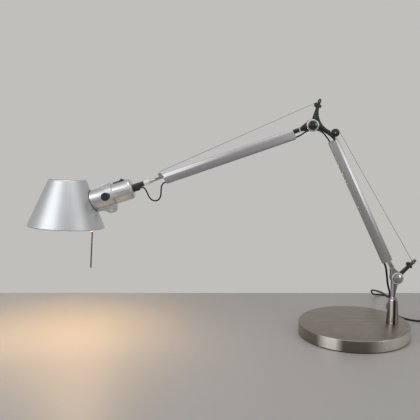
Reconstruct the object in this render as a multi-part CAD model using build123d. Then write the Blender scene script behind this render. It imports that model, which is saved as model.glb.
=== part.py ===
"""Spring-balanced desk lamp: a disc base, two tubular arms and a tilting cone shade.

Frame: origin at the centre of the base's underside, on the table. +X runs from the head towards the
stem, +Y away from the viewer, +Z up. Both arms lie in the plane Y = 0 at rest.
Arm frames: x runs along the arm away from its lower pivot, z towards the tension cable, y to the viewer.
"""

import math
import os

from build123d import *

# ---- base ----------------------------------------------------------------------------------------
BASE_R = 115.0
BASE_H = 25.4
BASE_BEVEL = 1.6
COVER_WALL = 1.5
PAD_T = 1.8
PAD_INSET = 2.2
WEIGHT_GAP = 0.4
STEM_X = 81.0

# ---- conical socket on the base, its fastener and its bush ---------------------------------------
CONE_FOOT_R = 13.2
CONE_TOP_R = 9.9
CONE_H = 51.0
CONE_SHOULDER = 2.6
BUSH_WALL = 1.6
BUSH_FLANGE_T = 1.2
BUSH_H = 32.0
SPINDLE_R = 5.0
BASE_SCREW_R = 4.0
BASE_SCREW_GRIP = 13.0
BASE_SCREW_HEAD_R = 6.5
BASE_SCREW_HEAD_H = 5.0
WASHER_R = 9.5
WASHER_T = 1.6
COUNTERBORE_R = 11.5
COUNTERBORE_SPARE = 1.0

# ---- fits ----------------------------------------------------------------------------------------
RUN_CLEAR = 0.05
FACE_CLEAR = 0.15
SEAT_CLEAR = 0.02

# ---- pivots between castings and arms ------------------------------------------------------------
BASE_PIVOT_RISE = 45.5
BASE_PIVOT_AHEAD = 4.5
EYE_R = 13.0
EYE_HALF = 4.0
CHEEK_T = 3.0
CHEEK_R = 12.0
PIVOT_PIN_R = 4.0
RIM_R = 13.5
RIM_T = 3.4
RIM_WALL = 3.6
DOME_R = 9.4
DOME_RISE = 1.7
DOME_FLANGE_T = 0.5
RIM_ROUND = 1.4

# ---- stem casting --------------------------------------------------------------------------------
LEG_TOP_DROP = 16.0
LEG_TOP_BACK = 10.4
LEG_TOP_FRONT = 2.1
LEG_FOOT_BACK = 8.9
LEG_FOOT_FRONT = -2.3
LEG_JOIN_BACK = 210.0
LEG_JOIN_FRONT = 290.0
LEG_FLARE_R = 7.6
LEG_FOOT_H = 3.0

# ---- levers that hold the cables -----------------------------------------------------------------
LEVER_ROOT_R = 4.6
LEVER_TIP_R = 2.7
LEVER_HALF = 3.0
BASE_LEVER_LENGTH = 54.3
BASE_LEVER_ANGLE = 44.7
BASE_NIPPLE_AT = 46.4
ELBOW_LEVER_LENGTH = 54.6
ELBOW_LEVER_ANGLE = 41.4
ELBOW_NIPPLE_AT = 50.0
NIPPLE_R = 1.5
NIPPLE_HALF = 3.4
LEVER_EYE_R = 3.6
CABLE_SLOT = 1.8
CABLE_SWING = 36.0
GUIDE_R = 4.6
GUIDE_HALF = 3.6
GUIDE_BEFORE_NIPPLE = 9.6
GUIDE_STUD_R = 1.4
GUIDE_NUT_R = 2.9
GUIDE_NUT_T = 2.6
GUIDE_BRIDGE_T = 1.2
GUIDE_SEAT = 0.1

# ---- tubes: an extrusion with a round cord channel and a spring bay ------------------------------
TUBE_LENGTH = 275.5
TUBE_DEPTH = 22.0
TUBE_WIDTH = 13.0
TUBE_WALL = 1.4
CORD_SIDE_R = 4.4
CABLE_SIDE_FALL = 7.2
CROWN_BREAK = 0.9
SHOULDER_LEAN = 0.45
BAY_SHOULDER_DROP = 0.56
CHANNEL_R = 2.5
CHANNEL_FROM_AXIS = 6.7
WEB_T = 1.4
LOWER_LEAN = 25.67
LOWER_TUBE_START = 40.5
LOWER_TUBE_DROP = 3.6
LOWER_ELBOW_AHEAD = 46.1
LOWER_ELBOW_DROP = 28.7
UPPER_SLOPE = 19.03
UPPER_TUBE_START = 39.7
UPPER_TUBE_DROP = 5.3

# ---- fittings in the tubes' ends -----------------------------------------------------------------
NECK_HALF = 4.3
YOKE_START = 17.5
YOKE_END_GAP = 0.3
PLUG_LENGTH = 19.0
PLUG_CLEAR = 0.15
WIRE_SLOT = 2.4
FORK_RING_T = 2.4
FORK_RING_AT = 26.0

# ---- elbow casting's leg and the lower cable's pulley --------------------------------------------
ELBOW_WEB_FROM = 34.7
ELBOW_WEB_TURN = 5.5
ELBOW_WEB_MID = (-1.0, 18.2)
ELBOW_WEB_END = (9.2, -8.2)
ELBOW_LEG_MID = (-24.2, 16.4)
ELBOW_LEG_END = (-9.5, 4.0)
ELBOW_LEG_RISE = 2.5
LOWER_PULLEY_AHEAD = 12.7
LOWER_PULLEY_RISE = 6.8
LOWER_PULLEY_R = 8.8
LOWER_EAR_R = 8.2
PULLEY_HALF = 2.0
PULLEY_GROOVE = 0.8
GROOVE_HALF = 1.1
PULLEY_SIDE_CLEAR = 0.3
PULLEY_RIM_CLEAR = 1.2
PULLEY_PIN_R = 1.6
EAR_T = 2.6

# ---- head end of the upper arm -------------------------------------------------------------------
UPPER_PULLEY_AHEAD = 6.6
UPPER_PULLEY_RISE = 6.9
UPPER_PULLEY_R = 5.2
FORK_CHEEK_T = 2.0
FORK_HALF = 2.5
FORK_WEB_AHEAD = 14.8
NECK_R = 3.4
RING_AHEAD = 25.8
RING_T = 4.6
RING_R = 4.7
SWIVEL_R = 3.0
SWIVEL_END_AHEAD = 48.8
SWIVEL_HEAD_R = 4.0
SWIVEL_HEAD_T = 2.4

# ---- cables and springs --------------------------------------------------------------------------
CABLE_R = 0.55
CABLE_SPLIT = 24.0
SPRING_R = 4.3
SPRING_WIRE = 1.1
SPRING_LENGTH = 128.0
SPRING_SAG = 0.4

# ---- wrist: collar, sleeve, bar and tilt knob ----------------------------------------------------
HEAD_ROLL = 4.5
WRIST_COLLAR_AHEAD = 32.0
WRIST_COLLAR_LENGTH = 11.6
WRIST_COLLAR_R = 4.7
COLLAR_EDGE = 0.9
SHANK_R = 5.1
SHANK_END_AHEAD = 52.8
SLEEVE_R = 5.4
SLEEVE_END_AHEAD = 69.3
BAR_HALF_T = 1.5
BAR_TONGUE = 12.0
BAR_ROOT_HALF = 4.1
BAR_TIP_R = 7.6
TILT_AHEAD = 126.5
KNOB_R = 8.5
KNOB_T = 9.0
TILT_BOLT_R = 2.5

# ---- lamp head -----------------------------------------------------------------------------------
HEAD_OFFSET = 26.0
HEAD_TILT = 1.73
HOLDER_R = 21.4
HOLDER_WALL = 1.5
HOLDER_REAR = 55.0
HOLDER_REAR_ROUND = 7.0
HOLDER_STEP = 14.2
STEP_GAP = 1.0
NECK_TUBE_R = 18.6
NECK_TUBE_END = 42.0
LOCK_RING_R = 22.0
LOCK_RING_T = 3.0
LOCK_RING_BACK = 0.6
CLAMP_PAD_LENGTH = 21.0
CLAMP_PAD_WIDTH = 15.0
CLAMP_PAD_RISE = 4.6
CLAMP_EAR_HALF = 6.0
CLAMP_EAR_DROP = 17.3
CLAMP_SPLIT = 1.6
CLAMP_SCREW_AT = 1.1
CLAMP_SCREW_DROP = 32.9
CLAMP_SCREW_R = 1.7
CLAMP_SCREW_HEAD_R = 3.8
CLAMP_SCREW_HEAD_T = 2.4
# The ear's side, from the collar's rear face round its foot and along the keel to the shade.
CLAMP_EAR_SIDE = [
    (-13.2, -27.0),
    (-10.6, -34.4),
    (-5.5, -38.2),
    (0.5, -38.7),
    (6.8, -36.4),
    (11.0, -31.0),
    (15.6, -26.8),
    (29.0, -25.0),
]
GLAND_R = 4.6
GLAND_LENGTH = 13.5
GLAND_DROP = 4.0
GLAND_SPIGOT_R = 2.8
GLAND_SPIGOT = 3.0
SWITCH_FROM = -18.2
SWITCH_LENGTH = 24.0
SWITCH_WIDTH = 10.0
SWITCH_RISE = 1.6
SWITCH_DEPTH = 6.2
SWITCH_FLANGE = 1.0
SWITCH_FLOOR = 1.2
ROCKER_CLEAR = 0.6
ROCKER_SIDE_CLEAR = 0.25
ROCKER_PIN_DROP = 1.6
ROCKER_LENGTH = 19.0
ROCKER_WIDTH = 7.0
ROCKER_TILT = 7.0
ROCKER_PIN_R = 1.0
ROCKER_RIB_FROM = 2.0
ROCKER_RIB_TO = 4.2
ROCKER_RIB_RISE = 2.3
# The rocker's side: x as a share of half its length, z in mm.
ROCKER_SIDE = [(-1, 0.9), (-1, -2.6), (-0.25, -3.2), (0.25, -3.2), (1, -2.6), (1, 0.9), (0, 0.1)]
SOCKET_R = 16.6
SOCKET_FROM = -22.0
SOCKET_TO = 14.0
SOCKET_BORE_R = 13.6
SOCKET_FLOOR = 8.0
CAP_R = 13.2
BULB_R = 27.0
BULB_NECK_R = 14.5
BULB_CENTRE = 63.0
BULB_NECK_ANGLE = 50.0
BULB_WALL = 1.5

# ---- shade and its handle rod --------------------------------------------------------------------
SHADE_AT = 86.7
SHADE_LIFT = 12.1
SHADE_LEAN = 20.1
SHADE_H = 98.0
SHADE_TOP_R = 38.4
SHADE_RIM_R = 78.6
SHADE_WALL = 1.2
SHADE_TOP_ROUND = 5.0
SHADE_BEAD_R = 1.7
SADDLE_T = 1.2
SADDLE_LIP = 0.8
ROD_R = 1.5
ROD_ROOT_X = 39.9
ROD_END_X = 83.0
ROD_END_DROP = 137.2
ROD_BALL_R = 2.6
ROD_BALL_DROP = 63.5

# ---- leads ---------------------------------------------------------------------------------------
MAINS_D = 4.2
ARM_LEAD_D = 3.0
HEAD_LEAD_D = 2.5
COIL_PITCH = 4.8
COIL_LAYERS = 4
COIL_HALF_TURNS = 4
COIL_OUTER_R = 27.7
COIL_X = 206.0
COIL_Y = 47.3
COIL_CLIMB_EASE = 2.0
COIL_LEAD_IN = 34.0
TAIL_RUN = 10.0
TAIL_BEND_R = 18.0
TAIL_CLIMB = 9.3
PLUG_BOOT_LENGTH = 18.0
PLUG_BOOT_R = 3.0
PLUG_BOOT_ROOT_R = 4.6
PLUG_BODY_LENGTH = 32.0
PLUG_WIDTH = 35.0
PLUG_HEIGHT = 13.6
PLUG_NOSE_WIDTH = 26.0
PLUG_SHOULDER = 9.0
PLUG_NOSE_TAPER = 8.0
PLUG_CORNER_R = 3.0
PLUG_EDGE_R = 2.4
PIN_R = 2.0
PIN_LENGTH = 19.0
PIN_SPACING = 18.6

# Routes of the leads, chosen by hand, in the lamp's frame. Each starts and ends on a piece whose end
# is worked out from the sizes above; these are the free points between.
DROP_POINTS = [(66.5, 3.5, 126.0), (70.6, 8.5, 104.0)]
LEAD_POINTS = [
    (79.0, 17.0, 83.0),
    (81.5, 28.0, 70.5),
    (81.8, 50.0, 66.5),
    (82.4, 82.0, 64.5),
    (83.0, 122.0, 57.0),
    (82.0, 165.0, 48.0),
    (86.0, 202.0, 36.0),
    (98.0, 234.0, 20.0),
    (109.5, 261.0, 9.0),
    (121.0, 280.0, 3.4),
    (142.5, 280.5, 2.1),
    (154.5, 262.0, 2.1),
    (145.0, 239.0, 2.1),
    (133.0, 213.0, 2.1),
    (122.0, 187.0, 2.1),
    (118.0, 160.0, 2.1),
    (121.0, 130.0, 2.1),
    (130.0, 100.0, 2.1),
    (150.0, 80.0, 2.1),
]
ELBOW_POINTS = [
    (-66.5, 5.0, 411.8),
    (-71.5, 10.8, 419.6),
    (-80.5, 16.0, 425.6),
    (-93.5, 18.5, 427.5),
    (-106.5, 14.0, 423.6),
    (-116.5, 5.5, 417.8),
]
HEAD_POINTS = [
    (-401.0, 1.0, 313.5),
    (-401.8, 2.5, 303.5),
    (-402.6, 5.0, 293.0),
    (-406.5, 8.5, 284.5),
    (-414.5, 12.5, 280.6),
    (-423.5, 16.5, 283.0),
    (-429.5, 20.0, 290.5),
    (-433.0, 22.6, 298.8),
    (-437.8, 24.8, 306.5),
]

# ---- places that follow from the sizes -----------------------------------------------------------
COVER_TOP = BASE_H
CONE_TOP = COVER_TOP + CONE_H
CAST_FOOT = CONE_TOP + BUSH_FLANGE_T + FACE_CLEAR
BASE_PIVOT = Vector(STEM_X + BASE_PIVOT_AHEAD, 0, CONE_TOP + BASE_PIVOT_RISE)
CHEEK_IN = EYE_HALF + FACE_CLEAR
CHEEK_OUT = CHEEK_IN + CHEEK_T
TUBE_HALF = TUBE_DEPTH / 2
BAY_TOP = TUBE_HALF - TUBE_WALL
BAY_FLOOR = -CHANNEL_FROM_AXIS + CHANNEL_R + WEB_T
LOWER_TUBE_END = LOWER_TUBE_START + TUBE_LENGTH
UPPER_TUBE_END = UPPER_TUBE_START + TUBE_LENGTH
LOWER_ELBOW_ALONG = LOWER_TUBE_END + LOWER_ELBOW_AHEAD
FORK_WEB_AT = UPPER_TUBE_END + FORK_WEB_AHEAD
RING_AT = UPPER_TUBE_END + RING_AHEAD
WRIST_COLLAR_AT = UPPER_TUBE_END + WRIST_COLLAR_AHEAD
SWIVEL_END = UPPER_TUBE_END + SWIVEL_END_AHEAD
SHANK_END = UPPER_TUBE_END + SHANK_END_AHEAD
SLEEVE_END = UPPER_TUBE_END + SLEEVE_END_AHEAD
TILT_AT = UPPER_TUBE_END + TILT_AHEAD
COUNTERBORE_DEPTH = BASE_SCREW_HEAD_H + WASHER_T + COUNTERBORE_SPARE
WASHER_TOP = PAD_T + COUNTERBORE_DEPTH
SCREW_TOP = COVER_TOP + BASE_SCREW_GRIP
SPRING_Z = (BAY_FLOOR + BAY_TOP) / 2 - SPRING_SAG
LOWER_HOOK = (LOWER_TUBE_START + PLUG_LENGTH + SPRING_LENGTH, SPRING_Z - LOWER_TUBE_DROP)
UPPER_HOOK = (UPPER_TUBE_START + PLUG_LENGTH + SPRING_LENGTH, SPRING_Z - UPPER_TUBE_DROP)
LOWER_PULLEY = (LOWER_TUBE_END + LOWER_PULLEY_AHEAD, LOWER_PULLEY_RISE)
UPPER_PULLEY = (UPPER_TUBE_END + UPPER_PULLEY_AHEAD, UPPER_PULLEY_RISE)
LOWER_WIRE_R = LOWER_PULLEY_R - PULLEY_GROOVE + CABLE_R
UPPER_WIRE_R = UPPER_PULLEY_R - PULLEY_GROOVE + CABLE_R
LOWER_CHANNEL = -LOWER_TUBE_DROP - CHANNEL_FROM_AXIS
UPPER_CHANNEL = -UPPER_TUBE_DROP - CHANNEL_FROM_AXIS
SWITCH_MIDDLE = SWITCH_FROM - SWITCH_LENGTH / 2
SWITCH_TOP = HOLDER_R + SWITCH_RISE


def arm_frame(pivot, lean):
    """Frame of an arm at its lower pivot: x along the arm, z to the cable side."""
    along = Vector(-math.sin(math.radians(lean)), 0, math.cos(math.radians(lean)))
    across = Vector(along.Z, 0, -along.X)
    return Plane(origin=pivot, x_dir=along, z_dir=across).location


def placed(frame, x=0.0, z=0.0, y=0.0):
    """A point of a frame, as a vector of the lamp's frame."""
    return Vector((frame * Pos(x, y, z)).position)


LOWER_FRAME = arm_frame(BASE_PIVOT, LOWER_LEAN)
ELBOW_PIVOT = placed(LOWER_FRAME, LOWER_ELBOW_ALONG, -LOWER_ELBOW_DROP)
UPPER_FRAME = arm_frame(ELBOW_PIVOT, 90 + UPPER_SLOPE)
ELBOW_FRAME = LOWER_FRAME * Pos(LOWER_ELBOW_ALONG, 0, -LOWER_ELBOW_DROP)
WRIST_FRAME = UPPER_FRAME * Rot(HEAD_ROLL, 0, 0)
TILT_FRAME = WRIST_FRAME * Pos(TILT_AT, 0, 0) * Rot(0, -HEAD_TILT, 0)
HEAD_FRAME = TILT_FRAME * Pos(0, -HEAD_OFFSET, 0)
STEM_FRAME = Pos(STEM_X, 0, 0)
SHADE_PLACE = Pos(SHADE_AT, 0, SHADE_LIFT) * Rot(0, -SHADE_LEAN, 0)
SHADE_FLARE = math.atan2(SHADE_RIM_R - SHADE_TOP_R, SHADE_H)


# ---- small shapes --------------------------------------------------------------------------------
def plate(outline, half, at=0.0):
    """A flat piece in the plane of the arms, as thick as twice half, centred on y = at."""
    return Pos(0, at, 0) * extrude(Plane.XZ * outline, amount=half, both=True)


def cross_rod(radius, length, x=0.0, z=0.0, y=0.0):
    """A cylinder across the plane of the arms, centred on y."""
    return Pos(x, y, z) * Rot(90, 0, 0) * Cylinder(radius, length)


def along_rod(radius, start, end, y=0.0, z=0.0):
    """A cylinder along x."""
    return Pos((start + end) / 2, y, z) * Rot(0, 90, 0) * Cylinder(radius, end - start)


def block(x_from, x_to, half_y, z_from, z_to, y=0.0):
    centre = Pos((x_from + x_to) / 2, y, (z_from + z_to) / 2)
    return centre * Box(x_to - x_from, 2 * half_y, z_to - z_from)


def blade(start_radius, end, end_radius):
    """A tapered lever outline from the origin to end."""
    root = Circle(start_radius)
    tip = Pos(end[0], end[1]) * Circle(end_radius)
    return make_hull([*root.edges(), *tip.edges()])


def polar(length, angle):
    return (length * math.cos(math.radians(angle)), length * math.sin(math.radians(angle)))


def fan(centre, reach, angle, half_angle, half):
    """A sector slot that a cable swings in."""
    low = polar(reach, angle - half_angle)
    high = polar(reach, angle + half_angle)
    corners = [(0, 0), low, high]
    return Pos(centre[0], 0, centre[1]) * plate(make_face(Polyline(*corners, close=True)), half)


def touch_point(centre, radius, outside, side):
    """Where a straight line from a point touches a circle, in the plane of the arms."""
    away = Vector(outside[0] - centre[0], outside[1] - centre[1])
    turn = math.degrees(math.acos(radius / away.length)) * side
    touch = away.normalized().rotate(Axis.Z, turn) * radius
    return (centre[0] + touch.X, centre[1] + touch.Y)


# ---- base ----------------------------------------------------------------------------------------
def base_cover():
    height = BASE_H - PAD_T
    shell = Pos(0, 0, PAD_T + height / 2) * Cylinder(BASE_R, height)
    top_edge = shell.edges().filter_by(GeomType.CIRCLE).sort_by(Axis.Z)[-1]
    shell = chamfer(top_edge, BASE_BEVEL)
    hollow = Pos(0, 0, PAD_T + (height - COVER_WALL) / 2) * Cylinder(BASE_R - COVER_WALL, height - COVER_WALL)
    hole = Pos(STEM_X, 0, COVER_TOP) * Cylinder(BASE_SCREW_R + SEAT_CLEAR, 4 * COVER_WALL)
    return shell - hollow - hole


def base_weight():
    top = BASE_H - COVER_WALL
    disc = Pos(0, 0, (PAD_T + top) / 2) * Cylinder(BASE_R - COVER_WALL - WEIGHT_GAP, top - PAD_T)
    hole = Pos(STEM_X, 0, top / 2) * Cylinder(BASE_SCREW_R + SEAT_CLEAR, 2 * top)
    sink = COUNTERBORE_DEPTH
    counterbore = Pos(STEM_X, 0, PAD_T + sink / 2) * Cylinder(COUNTERBORE_R, sink)
    return disc - hole - counterbore


def base_pad():
    return Pos(0, 0, PAD_T / 2) * Cylinder(BASE_R - PAD_INSET, PAD_T)


def base_washer():
    washer = Cylinder(WASHER_R, WASHER_T) - Cylinder(BASE_SCREW_R + SEAT_CLEAR, 2 * WASHER_T)
    return Pos(STEM_X, 0, WASHER_TOP - WASHER_T / 2) * washer


def base_screw():
    head_top = WASHER_TOP - WASHER_T
    head = extrude(RegularPolygon(BASE_SCREW_HEAD_R, 6), amount=BASE_SCREW_HEAD_H)
    head = Pos(STEM_X, 0, head_top - BASE_SCREW_HEAD_H) * head
    shank = Pos(STEM_X, 0, (head_top + SCREW_TOP) / 2) * Cylinder(BASE_SCREW_R, SCREW_TOP - head_top)
    return head + shank


def stem_cone():
    body = Pos(0, 0, COVER_TOP + CONE_H / 2) * Cone(CONE_FOOT_R, CONE_TOP_R, CONE_H)
    body = fillet(body.edges().filter_by(GeomType.CIRCLE).sort_by(Axis.Z)[-1], CONE_SHOULDER)
    bush_hole = Pos(0, 0, CONE_TOP - BUSH_H / 2) * Cylinder(SPINDLE_R + RUN_CLEAR + BUSH_WALL, BUSH_H)
    screw_hole = Pos(0, 0, (COVER_TOP + SCREW_TOP + 1) / 2) * Cylinder(
        BASE_SCREW_R + SEAT_CLEAR, SCREW_TOP + 1 - COVER_TOP
    )
    return STEM_FRAME * (body - bush_hole - screw_hole)


def swivel_bush():
    outer = SPINDLE_R + RUN_CLEAR + BUSH_WALL - SEAT_CLEAR
    barrel = Pos(0, 0, CONE_TOP - BUSH_H / 2) * Cylinder(outer, BUSH_H)
    flange = Pos(0, 0, CONE_TOP + BUSH_FLANGE_T / 2) * Cylinder(outer, BUSH_FLANGE_T)
    bore = Pos(0, 0, CONE_TOP) * Cylinder(SPINDLE_R + RUN_CLEAR, 3 * BUSH_H)
    return STEM_FRAME * (barrel + flange - bore)


# ---- stem ----------------------------------------------------------------------------------------
def stem_spindle():
    low = CONE_TOP - BUSH_H + 1
    rod = Pos(0, 0, (low + CAST_FOOT) / 2) * Cylinder(SPINDLE_R, CAST_FOOT - low)
    return STEM_FRAME * chamfer(rod.edges().filter_by(GeomType.CIRCLE).sort_by(Axis.Z)[0], 0.8)


def cable_lever(length, angle, nipple_at, cable_angle):
    """A tapered lever with the eye that the cable's nipple turns in and the slot that the cable swings in."""
    outline = blade(LEVER_ROOT_R, polar(length - LEVER_TIP_R, angle), LEVER_TIP_R)
    nipple = polar(nipple_at, angle)
    lever = plate(outline + Pos(*nipple) * Circle(LEVER_EYE_R), LEVER_HALF)
    lever -= cross_rod(NIPPLE_R + RUN_CLEAR, 4 * LEVER_HALF, *nipple)
    return lever - fan(nipple, 3 * LEVER_EYE_R, cable_angle, CABLE_SWING, CABLE_SLOT / 2)


def stem_casting():
    """Leg, pivot eye and base lever in one casting, its edges soft."""
    foot = CAST_FOOT - BASE_PIVOT.Z
    leg = Polyline(
        (0, 0),
        polar(EYE_R, LEG_JOIN_BACK),
        (-LEG_TOP_BACK, -LEG_TOP_DROP),
        (-LEG_FOOT_BACK, foot + LEG_FOOT_H),
        (LEG_FOOT_FRONT, foot + LEG_FOOT_H),
        (LEG_TOP_FRONT, -LEG_TOP_DROP),
        polar(EYE_R, LEG_JOIN_FRONT),
        close=True,
    )
    body = plate(make_face(leg) + Circle(EYE_R), EYE_HALF)
    lever = cable_lever(
        BASE_LEVER_LENGTH, BASE_LEVER_ANGLE, BASE_NIPPLE_AT, LOWER_CABLE_ANGLE
    )
    stud, _ = guide_places(BASE_LEVER_ANGLE, BASE_NIPPLE_AT, 1)
    body = body + lever - cross_stud_hole(stud, BASE_LEVER_ANGLE)
    body -= cross_rod(PIVOT_PIN_R + RUN_CLEAR, 4 * EYE_HALF)
    boss = Pos(-BASE_PIVOT_AHEAD, 0, foot + LEG_FOOT_H / 2) * Cylinder(LEG_FLARE_R, LEG_FOOT_H)
    boss = fillet(boss.edges().filter_by(GeomType.CIRCLE).sort_by(Axis.Z)[-1], LEG_FOOT_H * 0.6)
    return Pos(*BASE_PIVOT) * (body + boss)


def guide_places(angle, nipple_at, side):
    """Stud centre on the lever's line, and the guide's centre beside it."""
    stud = polar(nipple_at - GUIDE_BEFORE_NIPPLE, angle)
    beside = polar(LEVER_TIP_R + 0.9, angle + 90 * side)
    return stud, (stud[0] + beside[0], stud[1] + beside[1])


def cross_stud_hole(stud, angle):
    """Hole through the lever, in the plane of the arms, square to the lever."""
    hole = Rot(0, 90, 0) * Cylinder(GUIDE_STUD_R + SEAT_CLEAR, 8 * LEVER_TIP_R)
    return Pos(stud[0], 0, stud[1]) * Rot(0, -(angle + 90), 0) * hole


def wire_guide(angle, nipple_at, side):
    """Half-round guide beside the lever, slotted for the cable, with its stud and nut."""
    stud, _ = guide_places(angle, nipple_at, side)
    reach = LEVER_EYE_R + GUIDE_SEAT
    half_round = Circle(GUIDE_R) & Pos(GUIDE_R, 0) * Rectangle(2 * GUIDE_R, 2 * GUIDE_R)
    jaws = plate(half_round, GUIDE_HALF) - Box(4 * GUIDE_R, CABLE_SLOT, 4 * GUIDE_R)
    bridge = block(0, GUIDE_BRIDGE_T, GUIDE_HALF, -GUIDE_R, GUIDE_R)
    shank = along_rod(GUIDE_STUD_R, -(2 * reach + GUIDE_NUT_T), GUIDE_BRIDGE_T / 2)
    nut = Pos(-2 * reach - GUIDE_NUT_T, 0, 0) * Rot(0, 90, 0) * extrude(
        RegularPolygon(GUIDE_NUT_R, 6), amount=GUIDE_NUT_T
    )
    guide = Pos(reach, 0, 0) * (jaws + bridge + shank + nut)
    return Pos(stud[0], 0, stud[1]) * Rot(0, -(angle + 90 * side), 0) * guide


def pivot_pin():
    reach = CHEEK_OUT + RIM_T
    return chamfer(cross_rod(PIVOT_PIN_R, 2 * reach).edges().filter_by(GeomType.CIRCLE), 0.4)


def pivot_rims():
    """Polished rings on both ends of a pivot pin."""
    half = RIM_T / 2
    ring = Cylinder(RIM_R, RIM_T)
    ring = fillet(ring.edges().filter_by(GeomType.CIRCLE).sort_by(Axis.Z)[-1], RIM_ROUND)
    ring -= Pos(0, 0, RIM_T - RIM_WALL / 2) * Cylinder(DOME_R + SEAT_CLEAR, RIM_T)
    ring -= Cylinder(PIVOT_PIN_R + SEAT_CLEAR, 3 * RIM_T)
    near = Pos(0, CHEEK_OUT + half, 0) * Rot(-90, 0, 0) * ring
    return [near, near.mirror(Plane.XZ)]


def pivot_domes():
    """Domed caps inside the rings."""
    seat = CHEEK_OUT + RIM_T
    top = DOME_FLANGE_T + DOME_RISE
    cap = Pos(0, 0, DOME_FLANGE_T / 2) * Cylinder(DOME_R, DOME_FLANGE_T)
    ball_r = (DOME_R**2 + DOME_RISE**2) / (2 * DOME_RISE)
    dome = Pos(0, 0, top - ball_r) * Sphere(ball_r)
    dome &= Pos(0, 0, top) * Cylinder(DOME_R, 2 * DOME_RISE)
    near = Pos(0, seat, 0) * Rot(-90, 0, 0) * (cap + dome)
    return [near, near.mirror(Plane.XZ)]


# ---- tubes and what is in them -------------------------------------------------------------------
def tube_outline():
    """Section of the extrusion: round corners at the cord side, slanted shoulders at the cable side."""
    half = TUBE_WIDTH / 2
    crown = half - CABLE_SIDE_FALL * SHOULDER_LEAN
    right = [
        (0, -TUBE_HALF),
        (half - CORD_SIDE_R, -TUBE_HALF),
        (half, -TUBE_HALF + CORD_SIDE_R),
        (half, TUBE_HALF - CABLE_SIDE_FALL),
        (crown, TUBE_HALF - CROWN_BREAK),
        (crown - CROWN_BREAK, TUBE_HALF),
        (0, TUBE_HALF),
    ]
    corner = CenterArc((half - CORD_SIDE_R, -TUBE_HALF + CORD_SIDE_R), CORD_SIDE_R, -90, 90)
    half_line = Line(right[0], right[1]) + corner + Polyline(*right[2:])
    return make_face(half_line + mirror(half_line, Plane.YZ))


def bay_outline(shrink=0.0):
    """Section of the spring bay, smaller by shrink on every side."""
    half = TUBE_WIDTH / 2 - TUBE_WALL
    crown = half - CABLE_SIDE_FALL * SHOULDER_LEAN
    shoulder = TUBE_HALF - CABLE_SIDE_FALL - BAY_SHOULDER_DROP
    bay = make_face(
        Polyline(
            (-half, BAY_FLOOR),
            (half, BAY_FLOOR),
            (half, shoulder),
            (crown, BAY_TOP),
            (-crown, BAY_TOP),
            (-half, shoulder),
            close=True,
        )
    )
    return offset(bay, -shrink) if shrink else bay


def arm_tube(start, drop):
    section = tube_outline() - bay_outline() - Pos(0, -CHANNEL_FROM_AXIS) * Circle(CHANNEL_R)
    return Pos(start, 0, -drop) * extrude(Plane.YZ * section, amount=TUBE_LENGTH)


def bay_plug(start, drop, length):
    """The part of a fitting that sits in the spring bay, from x = start."""
    return Pos(start, 0, -drop) * extrude(Plane.YZ * bay_outline(PLUG_CLEAR), amount=length)


def tube_lead(start, drop, diameter):
    return along_rod(diameter / 2, start, start + TUBE_LENGTH, 0, -drop - CHANNEL_FROM_AXIS)


def pivot_fork(tube_start, drop):
    """Fork that joins a tube's lower end to a pivot eye: two cheeks, a yoke and a plug."""
    cheek = blade(CHEEK_R, (YOKE_START + 4, 0), NECK_HALF)
    cheeks = [plate(cheek, CHEEK_T / 2, side * (CHEEK_IN + CHEEK_T / 2)) for side in (1, -1)]
    yoke = block(YOKE_START, tube_start - YOKE_END_GAP, CHEEK_OUT, -NECK_HALF, NECK_HALF)
    yoke = chamfer(yoke.edges().filter_by(Axis.X), 1.4)
    plug = bay_plug(tube_start - 1.0, drop, PLUG_LENGTH + 1.0)
    fork = yoke + cheeks[0] + cheeks[1] + plug
    return fork - cross_rod(PIVOT_PIN_R + SEAT_CLEAR, 4 * CHEEK_OUT)


def pulley(radius):
    """Grooved wheel that turns a cable into the tube."""
    wheel = cross_rod(radius, 2 * PULLEY_HALF)
    groove = cross_rod(radius + 1, 2 * GROOVE_HALF) - cross_rod(radius - PULLEY_GROOVE, 4 * GROOVE_HALF)
    return wheel - groove - cross_rod(PULLEY_PIN_R + RUN_CLEAR, 4 * PULLEY_HALF)


def pulley_pin(reach):
    return cross_rod(PULLEY_PIN_R, 2 * reach)


def spring(start, drop):
    """Balance spring in its bay, drawn as the closed outline of its coils."""
    centre = SPRING_Z - drop
    sleeve = along_rod(SPRING_R, start, start + SPRING_LENGTH, 0, centre)
    bore = along_rod(
        SPRING_R - SPRING_WIRE, start + 2 * SPRING_WIRE, start + SPRING_LENGTH - 2 * SPRING_WIRE, 0, centre
    )
    return sleeve - bore


def cable_tail(nipple, centre, radius, hook):
    """Cable from its split point over the pulley and down to the spring."""
    meet = touch_point(centre, radius, nipple, -1)
    leave = touch_point(centre, radius, hook, 1)
    toward = Vector(nipple[0] - meet[0], nipple[1] - meet[1]).normalized() * CABLE_SPLIT
    start = (meet[0] + toward.X, meet[1] + toward.Y)
    top = Vector(meet[0] - centre[0], meet[1] - centre[1])
    low = Vector(leave[0] - centre[0], leave[1] - centre[1])
    middle = (top + low).normalized() * radius
    if middle.X < 0:
        middle = middle * -1
    over = ThreePointArc(meet, (centre[0] + middle.X, centre[1] + middle.Y), leave)
    path = Plane.XZ * Wire([Line(start, meet), over, Line(leave, hook)])
    return sweep_round(path, CABLE_R), start


def free_cable(nipple, start):
    """Straight cable from its split point to the nipple in the lever's eye."""
    run = Vector(nipple[0] - start[0], nipple[1] - start[1])
    middle = ((nipple[0] + start[0]) / 2, (nipple[1] + start[1]) / 2)
    angle = math.degrees(math.atan2(run.Y, run.X))
    wire = Pos(middle[0], 0, middle[1]) * Rot(0, -angle, 0) * Rot(0, 90, 0) * Cylinder(CABLE_R, run.length)
    return wire + cross_rod(NIPPLE_R, 2 * NIPPLE_HALF, *nipple)


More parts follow.
